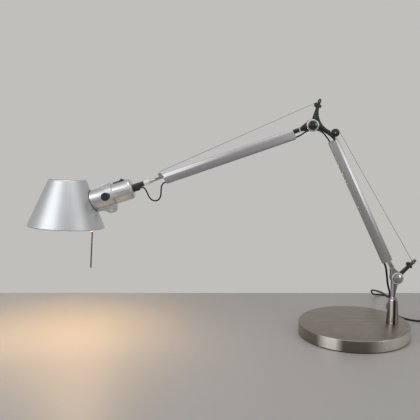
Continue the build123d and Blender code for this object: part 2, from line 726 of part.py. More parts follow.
def sweep_round(path, radius):
    """A round section swept along a path."""
    start = Plane(origin=path @ 0, z_dir=path % 0)
    return sweep(start * Circle(radius), path=path)


# ---- places in the arms' frames ------------------------------------------------------------------
def seen_from(frame, point):
    """A point of the lamp's frame, in an arm's own x and z."""
    local = frame.inverse() * Pos(*point)
    return (local.position.X, local.position.Z)


BASE_NIPPLE_POLAR = polar(BASE_NIPPLE_AT, BASE_LEVER_ANGLE)
BASE_NIPPLE = BASE_PIVOT + Vector(BASE_NIPPLE_POLAR[0], 0, BASE_NIPPLE_POLAR[1])
ELBOW_NIPPLE_POLAR = polar(ELBOW_NIPPLE_AT, ELBOW_LEVER_ANGLE)
ELBOW_NIPPLE = placed(ELBOW_FRAME, *ELBOW_NIPPLE_POLAR)
LOWER_NIPPLE_SEEN = seen_from(LOWER_FRAME, BASE_NIPPLE)
UPPER_NIPPLE_SEEN = seen_from(UPPER_FRAME, ELBOW_NIPPLE)


def cable_angle_in(frame, from_nipple, pulley_centre, wire_r, tube_frame, nipple_seen):
    """Direction of a cable as it leaves its nipple, in the frame of the lever."""
    meet = placed(tube_frame, *touch_point(pulley_centre, wire_r, nipple_seen, -1))
    there = seen_from(frame, meet)
    here = seen_from(frame, from_nipple)
    return math.degrees(math.atan2(there[1] - here[1], there[0] - here[0]))


LOWER_CABLE_ANGLE = cable_angle_in(
    Pos(*BASE_PIVOT), BASE_NIPPLE, LOWER_PULLEY, LOWER_WIRE_R, LOWER_FRAME, LOWER_NIPPLE_SEEN
)
UPPER_CABLE_ANGLE = cable_angle_in(
    ELBOW_FRAME, ELBOW_NIPPLE, UPPER_PULLEY, UPPER_WIRE_R, UPPER_FRAME, UPPER_NIPPLE_SEEN
)


# ---- elbow casting -------------------------------------------------------------------------------
def elbow_casting():
    """Three-armed casting: pivot eye, cable lever, and the leg that plugs into the lower tube."""
    tube_z = LOWER_ELBOW_DROP - LOWER_TUBE_DROP
    tube_x = LOWER_TUBE_END - LOWER_ELBOW_ALONG
    wheel = (LOWER_PULLEY[0] - LOWER_ELBOW_ALONG, LOWER_PULLEY[1] + LOWER_ELBOW_DROP)
    root = polar(ELBOW_WEB_FROM, ELBOW_LEVER_ANGLE)
    web_start = polar(ELBOW_WEB_FROM, ELBOW_LEVER_ANGLE + ELBOW_WEB_TURN)
    web_end = (wheel[0] + ELBOW_WEB_END[0], wheel[1] + ELBOW_WEB_END[1])
    shoulder = (tube_x + ELBOW_LEG_RISE, tube_z + BAY_TOP - ELBOW_LEG_RISE)
    leg_start = (tube_x, tube_z + ELBOW_LEG_RISE)
    leg = make_face(
        Wire(
            [
                ThreePointArc(web_start, ELBOW_WEB_MID, web_end),
                Line(web_end, shoulder),
                Line(shoulder, leg_start),
                ThreePointArc(leg_start, ELBOW_LEG_MID, ELBOW_LEG_END),
                *Polyline(ELBOW_LEG_END, (0, 0), root, web_start).edges(),
            ]
        )
    )
    body = plate(leg + Circle(EYE_R), EYE_HALF)
    ears = plate(Pos(*wheel) * Circle(LOWER_EAR_R), PULLEY_HALF + PULLEY_SIDE_CLEAR + EAR_T)
    lever = cable_lever(ELBOW_LEVER_LENGTH, ELBOW_LEVER_ANGLE, ELBOW_NIPPLE_AT, UPPER_CABLE_ANGLE)
    stud, _ = guide_places(ELBOW_LEVER_ANGLE, ELBOW_NIPPLE_AT, -1)
    plug = bay_plug(tube_x - PLUG_LENGTH, -tube_z, PLUG_LENGTH + 2.0)
    body = body + ears + lever + plug - cross_stud_hole(stud, ELBOW_LEVER_ANGLE)
    wheel_slot = plate(
        Pos(*wheel) * Circle(LOWER_PULLEY_R + PULLEY_RIM_CLEAR), PULLEY_HALF + PULLEY_SIDE_CLEAR
    )
    wire_slot = block(tube_x - 2 * PLUG_LENGTH, wheel[0], WIRE_SLOT / 2, tube_z - 1.5, tube_z + 2 * BAY_TOP)
    body = body - wheel_slot - wire_slot
    body -= cross_rod(PULLEY_PIN_R + SEAT_CLEAR, 6 * EYE_HALF, *wheel)
    return body - cross_rod(PIVOT_PIN_R + RUN_CLEAR, 6 * EYE_HALF)


def head_fork():
    """Fork at the head end: plug, two cheeks round the pulley, neck and swivel spindle."""
    inner = PULLEY_HALF + PULLEY_SIDE_CLEAR
    outer = inner + FORK_CHEEK_T
    bar = make_face(
        Polyline(
            (UPPER_TUBE_END + YOKE_END_GAP, -FORK_HALF),
            (FORK_WEB_AT + 4, -FORK_HALF),
            (FORK_WEB_AT + 4, FORK_HALF),
            (UPPER_TUBE_END + YOKE_END_GAP, FORK_HALF),
            close=True,
        )
    )
    ear = Pos(*UPPER_PULLEY) * Circle(2 * PULLEY_PIN_R) + make_face(
        Polyline(
            (UPPER_PULLEY[0] - 4.4, 0),
            (UPPER_PULLEY[0] + 4.4, 0),
            (UPPER_PULLEY[0] + 2.6, UPPER_PULLEY[1]),
            (UPPER_PULLEY[0] - 2.6, UPPER_PULLEY[1]),
            close=True,
        )
    )
    body = plate(bar + ear, outer)
    body -= block(UPPER_TUBE_END - 1, FORK_WEB_AT, inner, -2 * FORK_HALF, 8 * FORK_HALF)
    body += bay_plug(UPPER_TUBE_END - PLUG_LENGTH, UPPER_TUBE_DROP, PLUG_LENGTH + 1.2)
    top_slot = UPPER_TUBE_DROP * -1 + BAY_TOP
    body -= block(UPPER_TUBE_END - 2 * PLUG_LENGTH, FORK_WEB_AT, WIRE_SLOT / 2, -1.0, top_slot + 1)
    neck = along_rod(NECK_R, FORK_WEB_AT + 2, RING_AT + 1)
    ring = along_rod(RING_R, RING_AT, RING_AT + RING_T)
    spindle = along_rod(SWIVEL_R, RING_AT, SWIVEL_END)
    head = along_rod(SWIVEL_HEAD_R, SWIVEL_END - 0.01, SWIVEL_END + SWIVEL_HEAD_T)
    body = body + neck + ring + spindle + head
    return body - cross_rod(PULLEY_PIN_R + SEAT_CLEAR, 6 * outer, *UPPER_PULLEY)


def fork_ring():
    """Bright stop ring on the upper arm's neck at the elbow."""
    outline = Rectangle(2 * CHEEK_OUT + 1.6, 2 * NECK_HALF + 1.6) - Rectangle(
        2 * CHEEK_OUT + 0.04, 2 * NECK_HALF + 0.04
    )
    return Pos(FORK_RING_AT, 0, 0) * extrude(Plane.YZ * outline, amount=FORK_RING_T)


# ---- wrist ---------------------------------------------------------------------------------------
def wrist_collar():
    collar = along_rod(WRIST_COLLAR_R, WRIST_COLLAR_AT, WRIST_COLLAR_AT + WRIST_COLLAR_LENGTH)
    collar = fillet(collar.edges().filter_by(GeomType.CIRCLE), COLLAR_EDGE)
    return collar - along_rod(SWIVEL_R + RUN_CLEAR, WRIST_COLLAR_AT - 1, SWIVEL_END)


def wrist_sleeve():
    """Black sleeve: a slim shank, then the block that grips the bar."""
    start = WRIST_COLLAR_AT + WRIST_COLLAR_LENGTH + FACE_CLEAR
    shank = along_rod(SHANK_R, start, SHANK_END)
    sleeve = along_rod(SLEEVE_R, SHANK_END - 0.01, SLEEVE_END)
    sleeve = fillet(sleeve.edges().filter_by(GeomType.CIRCLE), 0.8)
    bore = along_rod(SWIVEL_R + RUN_CLEAR, start - 1, SWIVEL_END + 0.2)
    pocket_end = SWIVEL_END + SWIVEL_HEAD_T + 4 * FACE_CLEAR
    pocket = along_rod(SWIVEL_HEAD_R + RUN_CLEAR, SWIVEL_END - FACE_CLEAR, pocket_end)
    slot_half = BAR_ROOT_HALF + SEAT_CLEAR
    slot = block(SLEEVE_END - BAR_TONGUE, SLEEVE_END + 1, BAR_HALF_T + SEAT_CLEAR, -slot_half, slot_half)
    return shank + sleeve - bore - pocket - slot


def tilt_bar():
    start = SLEEVE_END - BAR_TONGUE
    outline = make_face(
        Polyline(
            (start, -BAR_ROOT_HALF),
            (SLEEVE_END, -BAR_ROOT_HALF),
            (TILT_AT, -BAR_TIP_R * 0.94),
            (TILT_AT, BAR_TIP_R * 0.94),
            (SLEEVE_END, BAR_ROOT_HALF),
            (start, BAR_ROOT_HALF),
            close=True,
        )
    )
    bar = plate(outline + Pos(TILT_AT, 0) * Circle(BAR_TIP_R), BAR_HALF_T)
    return bar - cross_rod(TILT_BOLT_R + RUN_CLEAR, 8 * BAR_HALF_T, TILT_AT)


def tilt_knob():
    seat = BAR_HALF_T + FACE_CLEAR
    knob = Cylinder(KNOB_R, KNOB_T)
    knob = fillet(knob.edges().filter_by(GeomType.CIRCLE).sort_by(Axis.Z)[-1], 1.6)
    knob -= Pos(0, 0, -KNOB_T / 2) * Cylinder(TILT_BOLT_R + RUN_CLEAR, KNOB_T * 1.3)
    return Pos(0, seat + KNOB_T / 2, 0) * Rot(-90, 0, 0) * knob


def tilt_bolt():
    """Bolt through the knob and the bar into the clamp collar's boss."""
    near = BAR_HALF_T + FACE_CLEAR + KNOB_T * 0.6
    far = -(HEAD_OFFSET - HOLDER_R) - 0.6
    return cross_rod(TILT_BOLT_R, near - far, 0, 0, (near + far) / 2)


# ---- head: holder, clamp and switch, x forward to the shade --------------------------------------
def ring_of(outer, inner, start, end):
    return along_rod(outer, start, end) - along_rod(inner, start - 1, end + 1)


def holder_cap():
    """Turned holder: closed round back, full body, and the neck that the clamp grips."""
    inner_r = NECK_TUBE_R - HOLDER_WALL
    body = along_rod(HOLDER_R, -HOLDER_REAR, -HOLDER_STEP)
    rear = body.edges().filter_by(GeomType.CIRCLE).sort_by(Axis.X)[0]
    body = fillet(rear, HOLDER_REAR_ROUND)
    body += along_rod(NECK_TUBE_R, -HOLDER_STEP - 0.01, NECK_TUBE_END)
    hollow = along_rod(HOLDER_R - 2 * HOLDER_WALL, -HOLDER_REAR + HOLDER_WALL, -HOLDER_STEP - HOLDER_WALL)
    hollow = fillet(
        hollow.edges().filter_by(GeomType.CIRCLE).sort_by(Axis.X)[0], HOLDER_REAR_ROUND - HOLDER_WALL
    )
    hollow += along_rod(inner_r, -HOLDER_STEP - 3 * HOLDER_WALL, NECK_TUBE_END + 1)
    spigot_end = -HOLDER_REAR + GLAND_SPIGOT + 1
    gland = along_rod(GLAND_SPIGOT_R + SEAT_CLEAR, -HOLDER_REAR - 1, spigot_end, 0, -GLAND_DROP)
    half = SWITCH_LENGTH / 2 - SWITCH_FLANGE
    window = block(
        SWITCH_MIDDLE - half,
        SWITCH_MIDDLE + half,
        SWITCH_WIDTH / 2 - SWITCH_FLANGE,
        HOLDER_R / 2,
        HOLDER_R + 2,
    )
    return body - hollow - gland - window


def cord_gland():
    gland = along_rod(GLAND_R, -HOLDER_REAR - GLAND_LENGTH, -HOLDER_REAR, 0, -GLAND_DROP)
    gland = fillet(gland.edges().filter_by(GeomType.CIRCLE).sort_by(Axis.X)[0], 1.6)
    end = -HOLDER_REAR + GLAND_SPIGOT
    spigot = along_rod(GLAND_SPIGOT_R, -HOLDER_REAR - 0.01, end, 0, -GLAND_DROP)
    bore_start = -HOLDER_REAR - GLAND_LENGTH - 1
    bore = along_rod(HEAD_LEAD_D / 2 + SEAT_CLEAR, bore_start, end + 1, 0, -GLAND_DROP)
    return gland + spigot - bore


def shade_cone(extra):
    """The cone that the shade's outside follows, larger by extra, in the head's frame."""
    grow = extra / math.cos(SHADE_FLARE)
    return SHADE_PLACE * Cone(SHADE_RIM_R + grow, SHADE_TOP_R + grow, SHADE_H)


def clamp_collar():
    """Split clamp round the holder's neck, with a raised pad, a screw ear and the tilt boss."""
    start = -HOLDER_STEP + STEP_GAP
    reach = SHADE_AT / 2
    body = along_rod(HOLDER_R, start, reach)
    pad = block(start, start + CLAMP_PAD_LENGTH, CLAMP_PAD_WIDTH / 2, 0, HOLDER_R + CLAMP_PAD_RISE)
    pad = fillet(pad.edges().filter_by(Axis.X).sort_by(Axis.Z)[-2:], 2.0)
    ear_top = [(CLAMP_EAR_SIDE[-1][0], 0), (start, 0)]
    ear = plate(make_face(Polyline(*CLAMP_EAR_SIDE, *ear_top, close=True)), CLAMP_EAR_HALF)
    boss_face = HEAD_OFFSET - BAR_HALF_T - FACE_CLEAR
    boss = cross_rod(BAR_TIP_R, boss_face, 0, 0, boss_face / 2)
    body = body + pad + ear + boss
    body -= along_rod(NECK_TUBE_R + SEAT_CLEAR, start - 1, reach + 1)
    body -= shade_cone(SADDLE_T + SEAT_CLEAR)
    body -= block(start - 1, reach + 1, CLAMP_SPLIT / 2, -HOLDER_R - CLAMP_EAR_DROP - 1, -NECK_TUBE_R + 3)
    screw = cross_rod(CLAMP_SCREW_R + SEAT_CLEAR, 4 * CLAMP_EAR_HALF, CLAMP_SCREW_AT, -CLAMP_SCREW_DROP)
    bolt_end = HOLDER_R - 0.6
    bolt_reach = boss_face + 1 - bolt_end
    bolt = cross_rod(TILT_BOLT_R + SEAT_CLEAR, bolt_reach, 0, 0, bolt_end + bolt_reach / 2)
    return body - screw - bolt


def clamp_screw():
    reach = CLAMP_EAR_HALF + 0.6
    shank = cross_rod(CLAMP_SCREW_R, 2 * reach)
    head = cross_rod(CLAMP_SCREW_HEAD_R, CLAMP_SCREW_HEAD_T, 0, 0, CLAMP_EAR_HALF + CLAMP_SCREW_HEAD_T / 2)
    head = fillet(head.edges().filter_by(GeomType.CIRCLE).sort_by(Axis.Y)[-1], 0.8)
    head -= Pos(0, CLAMP_EAR_HALF + CLAMP_SCREW_HEAD_T, 0) * Box(1.0, 1.6, 8 * CLAMP_SCREW_R)
    nut = Pos(0, -CLAMP_EAR_HALF, 0) * Rot(90, 0, 0) * extrude(RegularPolygon(3.4, 6), amount=2.2)
    return Pos(CLAMP_SCREW_AT, 0, -CLAMP_SCREW_DROP) * (shank + head + nut)


def saddle_seal():
    """Thin black seal between the clamp collar and the shade's curved side."""
    ring = ring_of(HOLDER_R + SADDLE_LIP, NECK_TUBE_R + SEAT_CLEAR, 0, SHADE_AT * 0.6)
    return ring & shade_cone(SADDLE_T) - shade_cone(0)


def lock_ring():
    """Ring nut inside the shade that draws it against the collar."""
    start = NECK_TUBE_END - LOCK_RING_T - LOCK_RING_BACK
    return ring_of(LOCK_RING_R, NECK_TUBE_R + SEAT_CLEAR, start, start + LOCK_RING_T)


def lampholder():
    """Ceramic screw lampholder inside the neck."""
    body = along_rod(SOCKET_R, SOCKET_FROM, SOCKET_TO)
    return body - along_rod(SOCKET_BORE_R, SOCKET_FROM + SOCKET_FLOOR, SOCKET_TO + 1)


def bulb():
    """Round bulb: sphere, tapering neck, and the cap seated in the lampholder."""
    bottom = SOCKET_FROM + SOCKET_FLOOR + FACE_CLEAR
    start = SOCKET_TO + 2
    touch = BULB_CENTRE - BULB_R * math.sin(math.radians(BULB_NECK_ANGLE))
    rise = BULB_R * math.cos(math.radians(BULB_NECK_ANGLE))
    slope = math.tan(math.radians(BULB_NECK_ANGLE))
    outline = make_face(
        Wire(
            [
                Line((start, 0), (start, BULB_NECK_R)),
                Spline((start, BULB_NECK_R), (touch, rise), tangents=[(1, 0.0), (1, slope)]),
                ThreePointArc((touch, rise), (BULB_CENTRE, BULB_R), (BULB_CENTRE + BULB_R, 0)),
                Line((BULB_CENTRE + BULB_R, 0), (start, 0)),
            ]
        )
    )
    cap = along_rod(CAP_R, bottom + 2, start) + along_rod(CAP_R * 0.4, bottom, bottom + 2)
    glass = revolve(outline, Axis.X) + cap
    inner_r = BULB_R - BULB_WALL
    return glass - Pos(BULB_CENTRE, 0, 0) * Sphere(inner_r)


def switch_body():
    """Rocker switch housing: a flange on the holder, a well in its core, and the rocker's two pins."""
    half = SWITCH_LENGTH / 2
    flange = block(
        SWITCH_MIDDLE - half, SWITCH_MIDDLE + half, SWITCH_WIDTH / 2, HOLDER_R - SWITCH_FLOOR, SWITCH_TOP
    )
    flange = fillet(flange.edges().filter_by(Axis.Z), 1.5 * SWITCH_FLANGE)
    flange -= along_rod(HOLDER_R + SEAT_CLEAR, SWITCH_MIDDLE - half - 1, SWITCH_MIDDLE + half + 1)
    core_half = half - SWITCH_FLANGE - RUN_CLEAR
    core_side = SWITCH_WIDTH / 2 - SWITCH_FLANGE - RUN_CLEAR
    core_low = SWITCH_TOP - SWITCH_DEPTH
    core = block(SWITCH_MIDDLE - core_half, SWITCH_MIDDLE + core_half, core_side, core_low, SWITCH_TOP)
    well_half = ROCKER_LENGTH / 2 + ROCKER_CLEAR
    well_side = ROCKER_WIDTH / 2 + ROCKER_SIDE_CLEAR
    well_floor = core_low + SWITCH_FLOOR
    well = block(SWITCH_MIDDLE - well_half, SWITCH_MIDDLE + well_half, well_side, well_floor, SWITCH_TOP + 1)
    pin_z = SWITCH_TOP - ROCKER_PIN_DROP
    pins = cross_rod(ROCKER_PIN_R, 2 * core_side, SWITCH_MIDDLE, pin_z)
    pins -= cross_rod(ROCKER_PIN_R + 1, ROCKER_WIDTH - 2 * ROCKER_CLEAR, SWITCH_MIDDLE, pin_z)
    return flange + core - well + pins


def switch_rocker():
    """Rocker resting with its rear end up, a thumb rib on that end."""
    half = ROCKER_LENGTH / 2
    side = make_face(Polyline(*((half * x, z) for x, z in ROCKER_SIDE), close=True))
    rocker = plate(side, ROCKER_WIDTH / 2)
    rib = block(-half + ROCKER_RIB_FROM, -half + ROCKER_RIB_TO, ROCKER_WIDTH / 2, 0, ROCKER_RIB_RISE)
    rocker = rocker + rib
    rocker -= cross_rod(ROCKER_PIN_R + RUN_CLEAR, 4 * ROCKER_WIDTH, 0, -ROCKER_PIN_DROP)
    pivot = Pos(SWITCH_MIDDLE, 0, SWITCH_TOP - ROCKER_PIN_DROP)
    return pivot * Rot(0, ROCKER_TILT, 0) * Pos(0, 0, ROCKER_PIN_DROP) * rocker


# ---- shade ---------------------------------------------------------------------------------------
def shade():
    """Spun cone with a closed top, round top edge, flared rim with a rolled bead, and a side hole."""
    half = SHADE_H / 2
    outer = make_face(
        Polyline((0, half), (SHADE_TOP_R, half), (SHADE_RIM_R, -half), (0, -half), close=True)
    )
    outer = fillet(outer.vertices().sort_by(Axis.Y)[-2:].sort_by(Axis.X)[-1:], SHADE_TOP_ROUND)
    back = SHADE_WALL / math.cos(SHADE_FLARE)
    top = half - SHADE_WALL
    top_r = SHADE_TOP_R - back + SHADE_WALL * math.tan(SHADE_FLARE)
    inner = make_face(
        Polyline((0, top), (top_r, top), (SHADE_RIM_R - back, -half), (0, -half), close=True)
    )
    inner = fillet(
        inner.vertices().sort_by(Axis.Y)[-2:].sort_by(Axis.X)[-1:], SHADE_TOP_ROUND - SHADE_WALL
    )
    section = outer - inner + Pos(SHADE_RIM_R - SHADE_BEAD_R * 0.4, -half) * Circle(SHADE_BEAD_R)
    shell = revolve(Plane.XZ * section, Axis.Z)
    hole = along_rod(NECK_TUBE_R + 0.3, -10, SHADE_AT)
    return SHADE_PLACE * shell - hole


def handle_rod():
    root = (ROD_ROOT_X, -LOCK_RING_R)
    end = (ROD_END_X, -ROD_END_DROP)
    run = Vector(end[0] - root[0], end[1] - root[1])
    angle = math.degrees(math.atan2(run.Y, run.X))
    share = (ROD_BALL_DROP - LOCK_RING_R) / (ROD_END_DROP - LOCK_RING_R)
    rod = Rot(0, 90, 0) * Pos(0, 0, run.length / 2) * Cylinder(ROD_R, run.length)
    rod = fillet(rod.edges().filter_by(GeomType.CIRCLE).sort_by(Axis.X)[-1], ROD_R * 0.8)
    ball = Pos(run.length * share, 0, 0) * Sphere(ROD_BALL_R)
    rod = Pos(root[0], 0, root[1] - 0.2) * Rot(0, -angle, 0) * (rod + ball)
    return rod - along_rod(LOCK_RING_R + SEAT_CLEAR, 0, 60)


# ---- leads ---------------------------------------------------------------------------------------
def corner_radii(points):
    """Radius of the arc at each inner point: 0.45 of the shorter run over the tangent of half the turn."""
    radii = []
    for before, here, after in zip(points, points[1:], points[2:]):
        run_in = Vector(*here) - Vector(*before)
        run_out = Vector(*after) - Vector(*here)
        turn = math.radians(run_in.get_angle(run_out))
        radii.append(0.45 * min(run_in.length, run_out.length) / math.tan(turn / 2))
    return radii


def lead(name, points, diameter):
    """A lead along its route, with the largest arcs that its runs allow."""
    radii = corner_radii(points)
    path = FilletPolyline(*points, radius=radii)
    tube = sweep_round(path, diameter / 2)
    share = tube.volume / (path.length * math.pi * diameter**2 / 4)
    print(f"{name}: {path.length:.1f} mm, least radius {min(radii):.1f} mm, volume share {share:.4f}")
    return tube


def on(vector):
    return (vector.X, vector.Y, vector.Z)


def mouth(frame, x, z, out):
    """A lead's exit and a point straight out of it."""
    return on(placed(frame, x, z)), on(placed(frame, x + out, z))


FOOT_MOUTH = mouth(LOWER_FRAME, LOWER_TUBE_START, LOWER_CHANNEL, -10.0)
ELBOW_LOW_MOUTH = mouth(LOWER_FRAME, LOWER_TUBE_END, LOWER_CHANNEL, 5.0)
ELBOW_HIGH_MOUTH = mouth(UPPER_FRAME, UPPER_TUBE_START, UPPER_CHANNEL, -8.0)
HEAD_MOUTH = mouth(UPPER_FRAME, UPPER_TUBE_END, UPPER_CHANNEL, 5.5)
GLAND_MOUTH = mouth(HEAD_FRAME, -HOLDER_REAR - GLAND_LENGTH, -GLAND_DROP, -5.5)
DROP_END = tuple((a + b) / 2 for a, b in zip(DROP_POINTS[-1], LEAD_POINTS[0]))
COIL_START = (COIL_X, COIL_Y + COIL_OUTER_R, MAINS_D / 2)
TAIL_END = Vector(COIL_X - TAIL_RUN, COIL_Y - COIL_OUTER_R + 2 * TAIL_BEND_R, 0)
COIL_APPROACH = (COIL_X - COIL_LEAD_IN, COIL_Y + COIL_OUTER_R, MAINS_D / 2)


def half_turn(start, end, heading):
    """Half a turn from start to end that leaves along heading, a unit vector."""
    a, b = Vector(*start), Vector(*end)
    middle = (a + b) * 0.5 + heading * ((b - a).length / 2)
    return ThreePointArc(a, middle, b)


def coil_turns():
    """Piled turns: in, up a layer, out, up, in, up, out. The ends of every half turn lie on x = COIL_X.
    A half turn that climbs a layer is eased away from the turns beside it.
    """
    z = MAINS_D / 2
    offset_ = COIL_OUTER_R
    side = 1
    points = [(COIL_X, COIL_Y + offset_, z)]
    for layer in range(COIL_LAYERS):
        step = -COIL_PITCH / 2 if layer % 2 == 0 else COIL_PITCH / 2
        for _ in range(COIL_HALF_TURNS):
            side = -side
            offset_ += step
            points.append((COIL_X, COIL_Y + side * offset_, z))
        if layer < COIL_LAYERS - 1:
            side = -side
            z += COIL_PITCH
            ease = COIL_CLIMB_EASE if layer % 2 else -COIL_CLIMB_EASE
            points.append((COIL_X, COIL_Y + side * (offset_ + ease), z))
    return points


def mains_coil():
    """The put-away length, wound flat, its tail climbing over the turns to the plug that lies on them."""
    points = coil_turns()
    heading = Vector(1, 0, 0)
    arcs = []
    for start, end in zip(points, points[1:]):
        arcs.append(half_turn(start, end, heading))
        heading = heading * -1
    last = Vector(*points[-1])
    run = last + heading * TAIL_RUN
    arcs.append(Line(last, run))
    tail_top = run + Vector(0, 2 * TAIL_BEND_R, TAIL_CLIMB)
    arcs.append(half_turn(on(run), on(tail_top), heading))
    heading = heading * -1
    arcs.append(Line(tail_top, tail_top + heading * MAINS_D))
    path = Wire(arcs)
    tube = sweep_round(path, MAINS_D / 2)
    share = tube.volume / (path.length * math.pi * MAINS_D**2 / 4)
    print(f"mains_coil: {path.length:.1f} mm, gap {least_gap(path):.2f} mm, volume share {share:.4f}")
    return tube


def least_gap(path, step=2.0):
    """Least clear distance between parts of the path that aren't neighbours."""
    count = int(path.length / step)
    at = [path @ (i / count) for i in range(count + 1)]
    skip = int(math.pi * COIL_OUTER_R * 0.7 / step)
    best = min((at[i] - at[j]).length for i in range(count + 1) for j in range(i + skip, count + 1))
    return best - MAINS_D


def plug_place():
    """Where the tail enters the plug, heading +X."""
    points = coil_turns()
    z = points[-1][2] + TAIL_CLIMB
    return Pos(TAIL_END.X + MAINS_D, TAIL_END.Y, z)


def plug_body():
    """Flat two-pin plug: a tapered boot, then a body that narrows to its nose."""
    boot = Cone(PLUG_BOOT_R, PLUG_BOOT_ROOT_R, PLUG_BOOT_LENGTH)
    boot = Pos(PLUG_BOOT_LENGTH / 2, 0, 0) * Rot(0, 90, 0) * boot
    start, end = PLUG_BOOT_LENGTH - 1, PLUG_BOOT_LENGTH + PLUG_BODY_LENGTH
    outline = make_face(
        Polyline(
            (start, -PLUG_WIDTH / 4),
            (start + PLUG_SHOULDER, -PLUG_WIDTH / 2),
            (end - PLUG_NOSE_TAPER, -PLUG_WIDTH / 2),
            (end, -PLUG_NOSE_WIDTH / 2),
            (end, PLUG_NOSE_WIDTH / 2),
            (end - PLUG_NOSE_TAPER, PLUG_WIDTH / 2),
            (start + PLUG_SHOULDER, PLUG_WIDTH / 2),
            (start, PLUG_WIDTH / 4),
            close=True,
        )
    )
    outline = fillet(outline.vertices(), PLUG_CORNER_R)
    body = Pos(0, 0, -PLUG_HEIGHT / 2) * extrude(outline, amount=PLUG_HEIGHT)
    flats = body.faces().sort_by(Axis.Z)
    body = fillet(flats[-1].edges() + flats[0].edges(), PLUG_EDGE_R)
    return plug_place() * (boot + body)


def plug_pins():
    start = PLUG_BOOT_LENGTH + PLUG_BODY_LENGTH
    pins = []
    for side in (1, -1):
        pin = along_rod(PIN_R, start, start + PIN_LENGTH, side * PIN_SPACING / 2)
        pin = fillet(pin.edges().filter_by(GeomType.CIRCLE).sort_by(Axis.X)[-1], PIN_R * 0.9)
        pins.append(plug_place() * pin)
    return pins


# ---- build ---------------------------------------------------------------------------------------
def lower_arm_nodes():
    tail, split = cable_tail(LOWER_NIPPLE_SEEN, LOWER_PULLEY, LOWER_WIRE_R, LOWER_HOOK)
    wheel = Pos(LOWER_PULLEY[0], 0, LOWER_PULLEY[1])
    return {
        "lower_tube": arm_tube(LOWER_TUBE_START, LOWER_TUBE_DROP),
        "lower_fork": pivot_fork(LOWER_TUBE_START, LOWER_TUBE_DROP),
        "lower_pivot_pin": pivot_pin(),
        "lower_pivot_rims": pivot_rims(),
        "lower_pivot_domes": pivot_domes(),
        "lower_pulley": wheel * pulley(LOWER_PULLEY_R),
        "lower_pulley_pin": wheel * pulley_pin(PULLEY_HALF + PULLEY_SIDE_CLEAR + EAR_T),
        "lower_spring": spring(LOWER_TUBE_START + PLUG_LENGTH, LOWER_TUBE_DROP),
        "lower_cable_tail": tail,
        "lower_cable": free_cable(LOWER_NIPPLE_SEEN, split),
        "lower_tube_lead": tube_lead(LOWER_TUBE_START, LOWER_TUBE_DROP, MAINS_D),
    }


def upper_arm_nodes():
    tail, split = cable_tail(UPPER_NIPPLE_SEEN, UPPER_PULLEY, UPPER_WIRE_R, UPPER_HOOK)
    wheel = Pos(UPPER_PULLEY[0], 0, UPPER_PULLEY[1])
    return {
        "upper_tube": arm_tube(UPPER_TUBE_START, UPPER_TUBE_DROP),
        "upper_fork": pivot_fork(UPPER_TUBE_START, UPPER_TUBE_DROP),
        "upper_fork_ring": fork_ring(),
        "upper_pivot_pin": pivot_pin(),
        "upper_pivot_rims": pivot_rims(),
        "upper_pivot_domes": pivot_domes(),
        "head_fork": head_fork(),
        "upper_pulley": wheel * pulley(UPPER_PULLEY_R),
        "upper_pulley_pin": wheel * pulley_pin(PULLEY_HALF + PULLEY_SIDE_CLEAR + FORK_CHEEK_T),
        "upper_spring": spring(UPPER_TUBE_START + PLUG_LENGTH, UPPER_TUBE_DROP),
        "upper_cable_tail": tail,
        "upper_cable": free_cable(UPPER_NIPPLE_SEEN, split),
        "upper_tube_lead": tube_lead(UPPER_TUBE_START, UPPER_TUBE_DROP, HEAD_LEAD_D),
    }


def moved(frame, shape):
    if isinstance(shape, list):
        return Compound(children=[frame * s for s in shape])
    return frame * shape


def all_nodes():
    nodes = {
        "base_cover": base_cover(),
        "base_weight": base_weight(),
        "base_pad": base_pad(),
        "base_washer": base_washer(),
        "base_screw": base_screw(),
        "stem_cone": stem_cone(),
        "swivel_bush": swivel_bush(),
        "stem_spindle": stem_spindle(),
        "stem_casting": stem_casting(),
        "base_cable_guide": Pos(*BASE_PIVOT) * wire_guide(BASE_LEVER_ANGLE, BASE_NIPPLE_AT, 1),
        "elbow_casting": ELBOW_FRAME * elbow_casting(),
        "elbow_cable_guide": ELBOW_FRAME * wire_guide(ELBOW_LEVER_ANGLE, ELBOW_NIPPLE_AT, -1),
    }
    for name, shape in lower_arm_nodes().items():
        nodes[name] = moved(LOWER_FRAME, shape)
    for name, shape in upper_arm_nodes().items():
        nodes[name] = moved(UPPER_FRAME, shape)
    for maker in (wrist_collar, wrist_sleeve, tilt_bar):
        nodes[maker.__name__] = WRIST_FRAME * maker()
    for maker in (tilt_knob, tilt_bolt):
        nodes[maker.__name__] = TILT_FRAME * maker()
    head = (
        holder_cap,
        cord_gland,
        clamp_collar,
        clamp_screw,
        saddle_seal,
        lock_ring,
        lampholder,
        bulb,
        switch_body,
        switch_rocker,
        shade,
        handle_rod,
    )
    for maker in head:
        nodes[maker.__name__] = HEAD_FRAME * maker()
    nodes["mains_drop"] = lead("mains_drop", [*FOOT_MOUTH, *DROP_POINTS, DROP_END], MAINS_D)
    nodes["mains_lead"] = lead("mains_lead", [DROP_END, *LEAD_POINTS, COIL_APPROACH, COIL_START], MAINS_D)
    nodes["mains_coil"] = mains_coil()
    elbow_points = [*ELBOW_LOW_MOUTH, *ELBOW_POINTS, *reversed(ELBOW_HIGH_MOUTH)]
    nodes["elbow_lead"] = lead("elbow_lead", elbow_points, ARM_LEAD_D)
    head_points = [*HEAD_MOUTH, *HEAD_POINTS, *reversed(GLAND_MOUTH)]
    nodes["head_lead"] = lead("head_lead", head_points, HEAD_LEAD_D)
    nodes["plug_body"] = plug_body()
    nodes["plug_pins"] = moved(Location(), plug_pins())
    return nodes


def main():
    os.makedirs("parts", exist_ok=True)
    for label, vector in (("base pivot", BASE_PIVOT), ("elbow pivot", ELBOW_PIVOT)):
        print(label, [round(v, 2) for v in on(vector)])
    for name, shape in all_nodes().items():
        export_step(shape, f"parts/{name}.step")


main()
